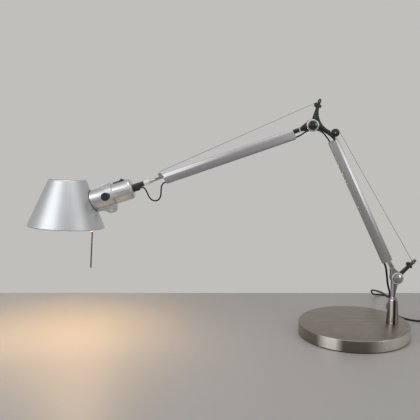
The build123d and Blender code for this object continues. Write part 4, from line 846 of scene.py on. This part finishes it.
def plug_boot():
    """Tapered boot with five ribs, over the end of the lead."""
    rear, front, lead_r = -0.004, 0.0185, MAINS_D / 2
    ribs = []
    for i in range(5):
        along, radius = 0.0005 + 0.0032 * i, 0.0030 + 0.00035 * i
        ribs += [
            (along, radius), (along + 0.0021, radius + 0.0002), (along + 0.0023, radius - 0.0003),
            (along + 0.0030, radius - 0.0002),
        ]
    profile = [(rear, lead_r), (rear, lead_r + 0.0005), *ribs, (front, 0.0046), (front, lead_r)]
    return turned("plug_boot", profile, "X", 48)


def mains_plug(entry):
    """Flat two-pin plug with a seam round it, joined to its boot."""
    start, end, half, nose, thick = 0.017, 0.050, 0.0175, 0.013, 0.0136
    outline = [
        (start, -0.0088), (start + 0.0035, -0.0128), (start + 0.009, -half), (start + 0.013, -half),
        (end - 0.010, -half), (end - 0.0065, -half + 0.0008), (end - 0.0006, -nose), (end, -nose + 0.0006),
    ]
    outline += [(x, -y) for x, y in reversed(outline)]
    body = drawn("mains_plug", [(x, y, -thick / 2) for x, y in outline])
    bpy.ops.mesh.edge_face_add()
    bpy.ops.mesh.extrude_region_move(TRANSFORM_OT_translate={"value": (0, 0, thick)})
    faced_out()
    soft(body, 0.0022, 4)
    deep, gap = 0.0003, 0.0004
    seam = block("seam", (start - 0.001, -0.02, -gap / 2), (end + 0.001, 0.02, gap / 2))
    core = block("core", (start, -half + deep, -0.001), (end - deep, half - deep, 0.001))
    cut(seam, core)
    cut(body, seam)
    plug = joined(body, plug_boot())
    return done(plug, shift(*entry), "base", black_plastic, "black_plastic", "plug_body")


MAINS_ROUTE = [*LEAD_ROUTE, *coil_route()]
plug = mains_plug(MAINS_ROUTE[-1])

mains_drop = lead("mains_drop_lead", DROP_ROUTE, MAINS_D)
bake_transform(mains_drop)
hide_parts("mains_drop")
drop_line = line_of(DROP_ROUTE)
mains_lead = lead("mains_lead_and_coil", MAINS_ROUTE, MAINS_D)
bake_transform(mains_lead)
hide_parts("mains_lead", "mains_coil")
mains_line = line_of(MAINS_ROUTE)
elbow_lead = lead("elbow_loop_lead", ELBOW_ROUTE, ARM_LEAD_D)
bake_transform(elbow_lead)
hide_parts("elbow_lead")
elbow_line = line_of(ELBOW_ROUTE)
LOOP_FOOT = 7
loop_middle = (Vector(HEAD_ROUTE[LOOP_FOOT - 1]) + Vector(HEAD_ROUTE[LOOP_FOOT])) / 2
gland_mouth = HEAD @ Vector((-HOLDER_REAR - GLAND_LENGTH, 0, -GLAND_DROP))
gland_out = HEAD @ Vector((-HOLDER_REAR - GLAND_LENGTH - GLAND_LEAD_RUN, 0, -GLAND_DROP))
HEAD_LOWER_ROUTE = [*HEAD_ROUTE[:LOOP_FOOT], tuple(loop_middle)]
HEAD_UPPER_ROUTE = [tuple(loop_middle), *HEAD_ROUTE[LOOP_FOOT:], tuple(gland_out), tuple(gland_mouth)]
head_loop = lead("head_loop_lead", HEAD_LOWER_ROUTE, HEAD_LEAD_D)
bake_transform(head_loop)
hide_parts("head_lead")
head_loop_line = line_of(HEAD_LOWER_ROUTE)
head_rise = lead("head_rise_lead", HEAD_UPPER_ROUTE, HEAD_LEAD_D)
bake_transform(head_rise)
head_rise_line = line_of(HEAD_UPPER_ROUTE)


# ---- base -------------------------------------------------------------------------------------------
def base_cover():
    """Turned shell of the disc, with a softened top edge and a small lip at its foot."""
    edge = 0.0016
    lip = 0.0006
    inner = BASE_R - COVER_WALL
    profile = [
        (BASE_TOP, 0),
        *arc((BASE_TOP - edge, BASE_R - edge), edge, 0, 90, 6),
        *arc((PAD_T + lip, BASE_R - lip), lip, 90, 180, 4),
        (PAD_T, inner),
        (BASE_TOP - COVER_WALL, inner),
        (BASE_TOP - COVER_WALL, 0),
    ]
    cover = turned("base_top", profile, "Z", 160)
    done(cover, WORLD, "base", base_metal, "base_metal", "base_cover")
    # The disc's side faces take the painted reflection bands.
    also_painted(cover, base_side_metal, lambda face: abs(face.normal.z) < 0.5)


def stem_cone():
    """Conical socket with a small foot bead and a rounded shoulder."""
    bore, screw, deep, shoulder = 0.00667, 0.00402, 0.032, 0.0026
    foot = [
        (BASE_TOP, screw),
        (BASE_TOP, CONE_FOOT_R - 0.0003),
        *arc((BASE_TOP + 0.0006, CONE_FOOT_R - 0.0004), 0.0005, 135, 0, 4),
    ]
    top = arc((CONE_TOP - shoulder, CONE_TOP_R - shoulder), shoulder, 86, 0, 7)
    inside = [(CONE_TOP, bore), (CONE_TOP - deep, bore), (CONE_TOP - deep, screw)]
    cone = turned("stem_socket", ring_profile([*foot, *top, *inside]), "Z", 96)
    done(cone, shift(STEM_X), "base", cone_metal, "base_metal", "stem_cone")


# ---- castings ---------------------------------------------------------------------------------------
def lever(name, size):
    """Tapered cable lever with its eye."""
    length, angle, nipple_at = size
    arm = soft(plate(name, blade(LEVER_ROOT_R, length - LEVER_TIP_R, angle, LEVER_TIP_R), LEVER_HALF), 0.0009)
    eye = plate("eye", arc(polar(nipple_at, angle), LEVER_EYE_R, 0, 345, 23), LEVER_HALF * 0.98)
    return joined(arm, soft(eye, 0.0006))


def pin_hole(play=PIN_PLAY):
    return rod("pin_hole", PIN_R + play, -HOLE_REACH, HOLE_REACH)


def stem_casting():
    """Leg, pivot eye and cable lever in one casting, on a flared foot."""
    foot = CAST_FOOT - BASE_PIVOT.z
    foot_r, foot_x, flare, toe = 0.0076, -0.0045, 0.0030, 0.0018
    ankle, waist = foot + 0.0022, -0.0160
    outline = [
        (-0.0089, ankle), (-0.0023, ankle), (0.0021, waist),
        *arc((0, 0), EYE_R, -70, 210, 28),
        (-0.0104, waist),
    ]
    leg = soft(plate("stem_leg", outline, EYE_HALF), 0.0012, 4)
    casting = joined(leg, lever("base_lever", BASE_LEVER))
    boss = [
        (foot, 0), (foot, foot_r - 0.0004), (foot + 0.0004, foot_r), (foot + 0.0012, foot_r),
        *arc((foot + flare, foot_r), toe, 180, 270, 5),
        (foot + flare + 0.0012, 0),
    ]
    joined(casting, put(turned("foot_boss", boss, "Z", 48), shift(foot_x)))
    cut(casting, pin_hole())
    casting.name = "stem_casting_piece"
    done(casting, STEM, "stem", stem_metal, "polished_cast", "stem_casting")


def elbow_casting():
    """Three-armed casting: pivot eye, cable lever and the curved leg that plugs into the lower tube."""
    tube_x = LOWER_TUBE[0] + TUBE_LENGTH - ELBOW_ALONG
    tube_z = ELBOW_DROP - LOWER_TUBE[1]
    wheel = (tube_x + 0.0127, ELBOW_DROP + 0.0068)
    web_top, lever_angle = 0.0347, ELBOW_LEVER[1]
    outer = bow(
        polar(web_top, lever_angle + 5.5), (-0.001, 0.0182), (wheel[0] + 0.0092, wheel[1] - 0.0082)
    )
    inner = bow((tube_x, tube_z + 0.0025), (-0.0242, 0.0164), (-0.0095, 0.004))
    outline = [*outer, (tube_x + 0.0025, tube_z + 0.0071), *inner, (0, 0), polar(web_top, lever_angle)]
    leg = soft(plate("elbow_leg", outline, EYE_HALF - 0.0001), 0.0012, 4)
    eye = soft(plate("elbow_eye", arc((0, 0), EYE_R, 0, 354, 59), EYE_HALF), 0.0009)
    ears = soft(plate("elbow_ears", moved(arc((0, 0), 0.0082, 0, 350, 35), *wheel), 0.0049), 0.0008)
    casting = joined(leg, eye, ears, lever("elbow_lever", ELBOW_LEVER))
    slot = rod("wheel_slot", 0.0100, -0.0023, 0.0023, at=wheel)
    bridge = block("wire_slot", (tube_x - 0.004, -0.0012, tube_z - 0.0015), (wheel[0], 0.0012, tube_z + 0.02))
    cut(casting, slot, bridge, pin_hole())
    casting.name = "elbow_casting_piece"
    done(casting, ELBOW, "lower_arm", cast_metal, "polished_cast", "elbow_casting")


# ---- tubes ------------------------------------------------------------------------------------------
def tube_section():
    """Round corners at the cord side, slanted shoulders at the cable side."""
    crown = TUBE_SIDE - SHOULDER_FALL * CROWN_SHARE
    right = [
        *arc((TUBE_SIDE - CORD_SIDE_R, -TUBE_HALF + CORD_SIDE_R), CORD_SIDE_R, -90, 0, 10),
        (TUBE_SIDE, TUBE_HALF - SHOULDER_FALL - 0.0005),
        (TUBE_SIDE - 0.0002, TUBE_HALF - SHOULDER_FALL + 0.0004),
        (crown + 0.0002, TUBE_HALF - 0.0014),
        (crown - 0.0004, TUBE_HALF - 0.0004),
        (crown - 0.0014, TUBE_HALF),
    ]
    return right + [(-y, z) for y, z in reversed(right)]


def bay_section():
    """The spring's bay inside a tube, above the lead's channel."""
    half = TUBE_SIDE - TUBE_WALL
    crown = TUBE_SIDE - SHOULDER_FALL * CROWN_SHARE - 0.0006
    floor = -CHANNEL_DROP + CHANNEL_R + TUBE_WALL
    shoulder = TUBE_HALF - SHOULDER_FALL - TUBE_WALL * 0.4
    top = TUBE_HALF - TUBE_WALL
    return [(half, floor), (half, shoulder), (crown, top), (-crown, top), (-half, shoulder), (-half, floor)]


def arm_tube(name, tube, place, body, material, node):
    """Drawn tube with its spring bay and its lead channel open at both ends."""
    start, drop = tube
    end = start + TUBE_LENGTH
    bar = soft(section_bar(name, tube_section(), start, end), 0.0003, 2, 60)
    bay = section_bar("bay", bay_section(), start - PAST, end + PAST)
    channel = rod("channel", CHANNEL_R, start - PAST, end + PAST, "X", (0, -CHANNEL_DROP), 24)
    cut(bar, bay, channel)
    done(bar, place @ shift(0, 0, -drop), body, material, "anodised_tube", node)


# ---- pivots -----------------------------------------------------------------------------------------
def pivot_trim(arm, place, body):
    """Polished rings and domed caps on both sides of a pivot."""
    seat, face = CHEEK_OUT, CHEEK_OUT + RIM_T
    seat_deep, rounding = 0.0018, 0.0014
    profile = [
        (seat, PIN_R),
        (seat, RIM_R - 0.0003),
        (seat + 0.0003, RIM_R),
        *arc((face - rounding, RIM_R - rounding), rounding, 90, 0, 8),
        (face, DOME_R + 0.0006),
        (face - 0.0004, DOME_R + 0.00015),
        (face - seat_deep, DOME_R + 0.0001),
        (face - seat_deep, PIN_R),
    ]
    ring = turned(f"{arm}_rim", ring_profile(profile), "Y", 80)
    rings = as_one(ring, mirrored(ring, "far_rim"))
    done(rings, place, body, bright_metal, "polished_steel", f"{arm}_pivot_rims")
    ball = (DOME_R**2 + DOME_RISE**2) / (2 * DOME_RISE)
    half_angle = math.degrees(math.asin(DOME_R / ball))
    dome_top = arc((face + 0.0005 + DOME_RISE - ball, 0), ball, half_angle, 0, 8)
    dome = turned(f"{arm}_dome", [(face, 0), (face, DOME_R), *dome_top], "Y", 64)
    domes = as_one(dome, mirrored(dome, "far_dome"))
    done(domes, place, body, JOINT_METAL[arm], "polished_cast", f"{arm}_pivot_domes")


def pivot_fork(arm, tube, place, body):
    """Two cheeks, a yoke and the plug in the tube's end."""
    start, drop = tube
    half_cheek, half_yoke, yoke_side = 0.0015, 0.0042, CHEEK_OUT - 0.0001
    cheek = blade(CHEEK_R, 0.0215, 0, 0.0043)
    near = soft(plate(f"{arm}_fork_piece", cheek, half_cheek, CHEEK_IN + half_cheek), 0.0007)
    far = mirrored(near, "far_cheek")
    yoke = block("yoke", (0.0175, -yoke_side, -half_yoke), (start - 0.0003, yoke_side, half_yoke))
    loose = 0.96
    plug_sides = [(y * loose, z * loose - drop) for y, z in bay_section()]
    plug = section_bar("plug", plug_sides, start - PAST, start + 0.019)
    fork = joined(near, far, soft(yoke, 0.0013), plug)
    cut(fork, pin_hole(0.00002))
    done(fork, place, body, JOINT_METAL[arm], "polished_cast", f"{arm}_fork")


base_cover()
stem_cone()
stem_casting()
elbow_casting()
arm_tube("lower_tube_piece", LOWER_TUBE, LOWER, "lower_arm", lower_tube_metal, "lower_tube")
arm_tube("upper_tube_piece", UPPER_TUBE, UPPER, "upper_arm", upper_tube_metal, "upper_tube")
pivot_trim("lower", LOWER, "lower_arm")
pivot_trim("upper", UPPER, "upper_arm")
pivot_fork("lower", LOWER_TUBE, LOWER, "lower_arm")
pivot_fork("upper", UPPER_TUBE, UPPER, "upper_arm")


# ---- head -------------------------------------------------------------------------------------------
def shade():
    """Spun shade: closed round-edged top, straight flank, rolled rim, and the hole at its side."""
    half = SHADE_H / 2
    flank = 90 - math.degrees(SHADE_SLOPE)
    round_r, bead_r = 0.005, 0.0017
    centre = (half - round_r, SHADE_TOP_R - round_r * math.tan((math.pi / 2 - SHADE_SLOPE) / 2))
    outer = [(half, 0), *arc(centre, round_r, 0, flank, 8)]
    bead = arc((-half, SHADE_RIM_R - bead_r * 0.4), bead_r, 65, 270, 16)
    foot = (-half + 0.0012, SHADE_RIM_R - SHADE_WALL / math.cos(SHADE_SLOPE) - 0.0008)
    inner = [*arc(centre, round_r - SHADE_WALL, flank, 0, 8), (half - SHADE_WALL, 0)]
    shell = turned("shade_piece", [*outer, *bead, foot, *inner], "Z", 144)
    put(shell, SHADE)
    cut(shell, put(rod("side_hole", NECK_TUBE_R + 0.0003, -0.010, SHADE_AT, "X"), HEAD))
    done(shell, WORLD, "head", shade_metal, "shade_aluminium", "shade")
    into = SHADE.inverted()

    def inside(face):
        spot, facing = into @ face.center, into.to_3x3() @ face.normal
        under_top = facing.z < -0.5 and spot.z > 0
        return under_top or facing.x * spot.x + facing.y * spot.y < 0

    also_painted(shell, shade_lining, inside)


def holder_cap():
    """Turned cap with a round back and the neck that the clamp grips."""
    back_r, wall = 0.007, 0.0015
    back = (-HOLDER_REAR + back_r, HOLDER_R - back_r)
    outside = [
        (-HOLDER_REAR, 0),
        *arc(back, back_r, 180, 90, 10),
        (-HOLDER_STEP - 0.0005, HOLDER_R),
        (-HOLDER_STEP, HOLDER_R - 0.0005),
        (-HOLDER_STEP, NECK_TUBE_R),
        (NECK_TUBE_END - 0.0004, NECK_TUBE_R),
        (NECK_TUBE_END, NECK_TUBE_R - 0.0004),
    ]
    inside = [
        (NECK_TUBE_END, NECK_TUBE_R - wall),
        (-HOLDER_STEP - wall, NECK_TUBE_R - wall),
        (-HOLDER_STEP - wall, HOLDER_R - 2 * wall),
        *arc(back, back_r - 2 * wall, 90, 180, 8),
        (-HOLDER_REAR + 2 * wall, 0),
    ]
    cap = turned("holder_cap_piece", [*outside, *inside], "X", 96)
    window = block("switch_window", (-0.0412, -0.004, 0.010), (-0.0192, 0.004, HOLDER_R + 0.002))
    gland_hole = rod(
        "gland_hole", GLAND_NECK_R, -HOLDER_REAR - PAST, -HOLDER_REAR + 0.004, "X", (0, -GLAND_DROP)
    )
    cut(cap, window, gland_hole)
    done(cap, HEAD, "head", holder_metal, "holder_aluminium", "holder_cap")


def neck_bore(start, end):
    return rod("bore", NECK_TUBE_R + 0.00002, start - PAST, end + PAST, "X", sides=96)


def clamp_collar():
    """Split clamp with a raised pad, a screw ear and the tilt boss, its front shaped to the shade."""
    start, reach, skin = -HOLDER_STEP + 0.001, SHADE_AT / 2, 0.00122
    ring = soft(rod("clamp_collar_piece", HOLDER_R, start, reach, "X", sides=96), 0.0006, 3, 60)
    pad = soft(block("pad", (start, -0.0075, 0), (start + 0.021, 0.0075, HOLDER_R + 0.0046)), 0.0016, 4)
    side = [
        (start, -0.0255), (-0.0108, -0.0322), (-0.0058, -0.0358), (0.0004, -0.0366), (0.0068, -0.0350),
        (0.0112, -0.0304), (0.0156, -0.0268), (0.029, -0.025), (0.029, 0), (start, 0),
    ]
    ear = soft(plate("ear", side, 0.006), 0.0009, 3, 20)
    boss = soft(rod("boss", 0.0076, 0, HEAD_OFFSET - WASHER_GAP), 0.0006)
    collar = joined(ring, pad, ear, boss)
    half, grow = SHADE_H / 2, skin / math.cos(SHADE_SLOPE)
    cone_side = [(half, 0), (half, SHADE_TOP_R + grow), (-half, SHADE_RIM_R + grow), (-half, 0)]
    cone = put(turned("shade_side", cone_side, "Z", 144), HEAD.inverted() @ SHADE)
    split = block("split", (start - PAST, -0.0008, -0.040), (reach + PAST, 0.0008, -NECK_TUBE_R + 0.003))
    screw_hole = rod("screw_hole", 0.00172, -HOLE_REACH, HOLE_REACH, at=(SCREW_X, SCREW_Z))
    cut(collar, neck_bore(start, reach), cone, split, screw_hole)
    done(collar, HEAD, "head", holder_metal, "holder_aluminium", "clamp_collar")


def tilt_knob():
    """Fluted black knob with a rounded face."""
    flutes, points, radius, flute_deep, half = 20, 120, 0.0085, 0.0003, 0.0045
    outline = []
    for i in range(points):
        hollow = (0.5 - 0.5 * math.cos(math.tau * flutes * i / points)) ** 3
        outline.append(polar(radius - flute_deep * hollow, 360 * i / points))
    knob = soft(plate("tilt_knob_piece", outline, half, WASHER_GAP + half), 0.0014, 4, 60)
    cut(knob, rod("bolt_hole", BOLT_HOLE_R, 0, 0.0083))
    done(knob, TILT, "tilt_knob", black_plastic, "black_plastic", "tilt_knob")


def tilt_bar():
    """Flat bar that widens to a round end at the tilt bolt."""
    rear = SLEEVE_END - SLOT_DEEP
    outline = [
        (rear, -BAR_HALF), (SLEEVE_END, -BAR_HALF), *arc((TILT_AT, 0), 0.0076, -98, 98, 24),
        (SLEEVE_END, BAR_HALF), (rear, BAR_HALF),
    ]
    bar = soft(plate("tilt_bar_piece", outline, BAR_T / 2), 0.0006)
    cut(bar, rod("bolt_hole", BOLT_HOLE_R, -0.01, 0.01, at=(TILT_AT, 0)))
    done(bar, WRIST, "head_arm", bar_metal, "holder_aluminium", "tilt_bar")


def wrist_collar():
    """Pale collar with a fine groove."""
    start, end, radius, edge, groove = 0.3472, 0.3588, 0.0047, 0.0009, 0.0003
    profile = [
        (start, SHANK_BORE),
        *arc((start + edge, radius - edge), edge, 180, 90, 5),
        (0.3528, radius), (0.3530, radius - groove), (0.3534, radius - groove), (0.3536, radius),
        *arc((end - edge, radius - edge), edge, 90, 0, 5),
        (end, SHANK_BORE),
    ]
    collar = turned("wrist_collar_piece", ring_profile(profile), "X", 64)
    done(collar, WRIST, "head_arm", acetal, "acetal", "wrist_collar")


def wrist_sleeve():
    """Black sleeve on the shank, its front end slotted for the tilt bar."""
    start, step, edge = 0.35895, 0.3680, 0.0008
    shank_r, sleeve_r, head_r, wire_r = 0.0051, 0.0054, 0.00405, 0.001
    profile = [
        (start, SHANK_BORE), (start, shank_r - 0.0004), (start + 0.0004, shank_r),
        (step - 0.0004, shank_r), (step, sleeve_r - 0.0005),
        *arc((step + edge, sleeve_r - edge), edge, 150, 90, 4),
        *arc((SLEEVE_END - edge, sleeve_r - edge), edge, 90, 0, 5),
        (SLEEVE_END, wire_r), (0.3710, wire_r),
        (0.3670, head_r), (0.3638, head_r), (0.3638, SHANK_BORE),
    ]
    sleeve = turned("wrist_sleeve_piece", ring_profile(profile), "X", 64)
    half_t, half = BAR_T / 2 + 0.00002, BAR_HALF + 0.00002
    slot = block("bar_slot", (SLEEVE_END - SLOT_DEEP, -half_t, -half), (SLEEVE_END + PAST, half_t, half))
    cut(sleeve, slot)
    done(sleeve, WRIST, "head_arm", black_plastic, "black_plastic", "wrist_sleeve")


def switch():
    """Rocker switch on the holder's top: rounded flange, well, and a rocker with a thumb rib."""
    middle, half, foot, top = -0.0302, 0.012, 0.0202, 0.0230
    well_floor, pin_drop = 0.0180, 0.0016
    rear, front = middle - half, middle + half
    flange = plate("switch_body_piece", [(rear, foot), (front, foot), (front, top), (rear, top)], 0.005)
    soft(flange, 0.0007, 3)
    cut(flange, rod("holder_round", HOLDER_R + 0.00002, middle - 0.02, middle + 0.02, "X", sides=96))
    core = block("core", (middle - 0.01095, -0.00395, 0.0168), (middle + 0.01095, 0.00395, top - 0.0003))
    well = block("well", (middle - 0.0101, -0.00375, well_floor), (middle + 0.0101, 0.00375, top + PAST))
    body = cut(joined(flange, core), well)
    done(body, HEAD, "head", black_plastic, "black_plastic", "switch_body")
    side = [
        (-0.0095, -0.0026), (-0.0024, -0.0032), (0.0024, -0.0032), (0.0095, -0.0026), (0.0095, 0.0009),
        (0.0045, 0.00035), (0, 0.0001), (-0.0045, 0.00035), (-0.0095, 0.0009),
    ]
    rocker = soft(plate("switch_rocker_piece", side, 0.0035), 0.0004, 2)
    rib = soft(block("thumb_rib", (-0.0075, -0.0034, -0.0005), (-0.0053, 0.0034, 0.0023)), 0.0005, 3)
    joined(rocker, rib)
    cut(rocker, rod("pin_hole", 0.00105, -0.005, 0.005, at=(0, -pin_drop)))
    tilt = HEAD @ shift(middle, 0, top - pin_drop) @ turn_about("Y", 7.0) @ shift(0, 0, pin_drop)
    done(rocker, tilt, "switch_rocker", black_plastic, "black_plastic", "switch_rocker")


def bulb():
    """Opal globe with its neck, and a threaded metal cap in the lampholder."""
    radius, centre, neck_r, collar = 0.027, 0.063, 0.0145, 0.016
    neck_steps, meets = 8, 50
    touch = centre - radius * math.sin(math.radians(meets))
    rise = radius * math.cos(math.radians(meets)) - neck_r
    neck = []
    for i in range(1, neck_steps):
        t = i / neck_steps
        swell = 0.55 * t * t * (3 - 2 * t) + 0.45 * t * t
        neck.append((collar + (touch - collar) * t, neck_r + rise * swell))
    globe = arc((centre, 0), radius, 90 + meets, 0, 26)
    glass = turned("bulb_glass", [(collar, 0), (collar, neck_r - 0.0004), *neck, *globe], "X", 96)
    glass.data.materials.append(opal_glass)
    pitch, root_r, crest_r = 0.0036, 0.0126, 0.0132
    thread = [(-0.01385, 0), (-0.01385, 0.0050), (-0.0120, 0.0056), (-0.0118, 0.0112)]
    for i in range(6):
        along = -0.0112 + pitch * i
        thread += [
            (along, root_r), (along + pitch / 4, crest_r), (along + pitch / 2, crest_r),
            (along + pitch * 3 / 4, root_r),
        ]
    thread += [(0.0112, 0.0130), (0.0162, crest_r), (0.0164, 0.0120), (0.0164, 0)]
    cap = turned("bulb_cap", thread, "X", 72)
    cap.data.materials.append(bright_metal)
    done(as_one(glass, cap), HEAD, "head", None, "opal_glass", "bulb")


def lampholder():
    """Ceramic holder with a glazed rim and the shell that the cap screws into."""
    start, end, outer, bore, floor = -0.022, 0.014, 0.0166, 0.0136, -0.014
    rear_r, rim_r, groove = 0.002, 0.0009, 0.0005
    profile = [
        (start, 0),
        *arc((start + rear_r, outer - rear_r), rear_r, 180, 90, 5),
        (end - 0.0054, outer), (end - 0.0050, outer - groove), (end - 0.0044, outer - groove),
        (end - 0.0040, outer),
        *arc((end - rim_r, outer - rim_r), rim_r, 90, 0, 5),
        (end, bore + 0.0004), (end - 0.0004, bore), (floor, bore), (floor, 0),
    ]
    holder = turned("lampholder_piece", profile, "X", 96)
    done(holder, HEAD, "head", ceramic, "ceramic", "lampholder")


def lock_ring():
    """Knurled ring nut that draws the shade against the clamp."""
    start, end, radius, knurl, points = 0.0384, 0.0414, 0.022, 0.0005, 192
    outline = [
        polar(radius - (knurl if i % 4 in (2, 3) else 0), 360 * i / points) for i in range(points)
    ]
    ring = soft(plate("lock_ring_piece", outline, (end - start) / 2), 0.0002, 1, 40)
    put(ring, shift((start + end) / 2) @ turn_about("Z", 90))
    cut(ring, neck_bore(start, end))
    done(ring, HEAD, "head", holder_metal, "holder_aluminium", "lock_ring")


def handle_rod():
    """Slim rod with a small ball partway and a rounded end."""
    root, end = Vector((0.0399, 0, -0.0222)), Vector((0.0815, 0, -0.1332))
    radius, ball, ball_share = 0.0015, 0.0026, 0.36024
    run = (end - root).length
    half_angle = math.degrees(math.asin(radius / ball))
    bead = arc((run * ball_share, 0), ball, 180 - half_angle, half_angle, 14)
    tip = arc((run - radius, 0), radius, 90, 0, 6)
    piece = turned("handle_rod_piece", [(0.0002, 0), (0.0002, radius), *bead, *tip], "X", 32)
    lean = math.degrees(math.atan2(root.z - end.z, end.x - root.x))
    place = HEAD @ Matrix.Translation(root) @ turn_about("Y", lean)
    done(piece, place, "head", rod_metal, "zinc_steel", "handle_rod")


def cord_gland():
    """Ribbed black gland at the back of the holder."""
    front, rear = -HOLDER_REAR, -HOLDER_REAR - GLAND_LENGTH
    radius, bore, rounding, deep = 0.0046, HEAD_LEAD_D / 2 + 0.00002, 0.0016, 0.0006
    ribs = []
    for i in range(3):
        along = rear + 0.0046 + 0.0026 * i
        ribs += [
            (along, radius), (along + 0.0003, radius - deep), (along + 0.0012, radius - deep),
            (along + 0.0015, radius),
        ]
    profile = [
        (rear, bore), *arc((rear + rounding, radius - rounding), rounding, 180, 90, 6), *ribs,
        (front - 0.0003, radius), (front, radius - 0.0003),
        (front, GLAND_NECK_R), (front + 0.003, GLAND_NECK_R), (front + 0.003, bore),
    ]
    gland = turned("cord_gland_piece", ring_profile(profile), "X", 48)
    done(gland, HEAD @ shift(0, 0, -GLAND_DROP), "head", black_plastic, "black_plastic", "cord_gland")


def clamp_screw():
    """Slotted screw head on the near side of the ear, a hexagon nut on the far side."""
    seat, shank_r, head_r, head_t, rounding = 0.006, 0.0017, 0.0034, 0.0024, 0.0008
    nut_r, nut_half = 0.0034, 0.0011
    crown = seat + head_t
    profile = [
        (-seat - 0.0006, 0), (-seat - 0.0006, shank_r), (seat, shank_r),
        (seat, head_r - 0.0002), (seat + 0.0002, head_r),
        *arc((crown - rounding, head_r - rounding), rounding, 90, 0, 6),
        (crown, 0),
    ]
    head = turned("clamp_screw_piece", profile, "Y", 48)
    cut(head, block("slot", (-0.0005, crown - 0.0008, -0.006), (0.0005, crown + PAST, 0.006)))
    nut = plate("nut", [polar(nut_r, 60 * i) for i in range(6)], nut_half, -seat - nut_half)
    joined(head, soft(nut, 0.0002, 2))
    place = HEAD @ shift(SCREW_X, 0, SCREW_Z)
    done(head, place, "head", bright_metal, "zinc_steel", "clamp_screw")


shade()
holder_cap()
clamp_collar()
tilt_knob()
tilt_bar()
wrist_collar()
wrist_sleeve()
switch()
bulb()
lampholder()
lock_ring()
handle_rod()
cord_gland()
clamp_screw()


# ---- finishes of the nodes that stay ----------------------------------------------------------------
STAYING = [
    (rubber, "base_pad", "saddle_seal"),
    (iron, "base_weight"),
    (zinc, "base_washer", "base_screw", "lower_pivot_pin", "upper_pivot_pin", "tilt_bolt"),
    (acetal, "swivel_bush", "lower_pulley", "upper_pulley"),
    (cast_metal, "base_cable_guide", "elbow_cable_guide"),
    (bright_metal, "stem_spindle", "lower_pulley_pin", "upper_pulley_pin"),
    (bright_metal, "upper_fork_ring", "head_fork", "plug_pins"),
    (spring_steel, "lower_spring", "lower_cable", "lower_cable_tail"),
    (spring_steel, "upper_spring", "upper_cable", "upper_cable_tail"),
    (cord_black, "lower_tube_lead", "upper_tube_lead"),
]
for material, *nodes in STAYING:
    for node in nodes:
        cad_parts[node].data.materials.clear()
        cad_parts[node].data.materials.append(material)
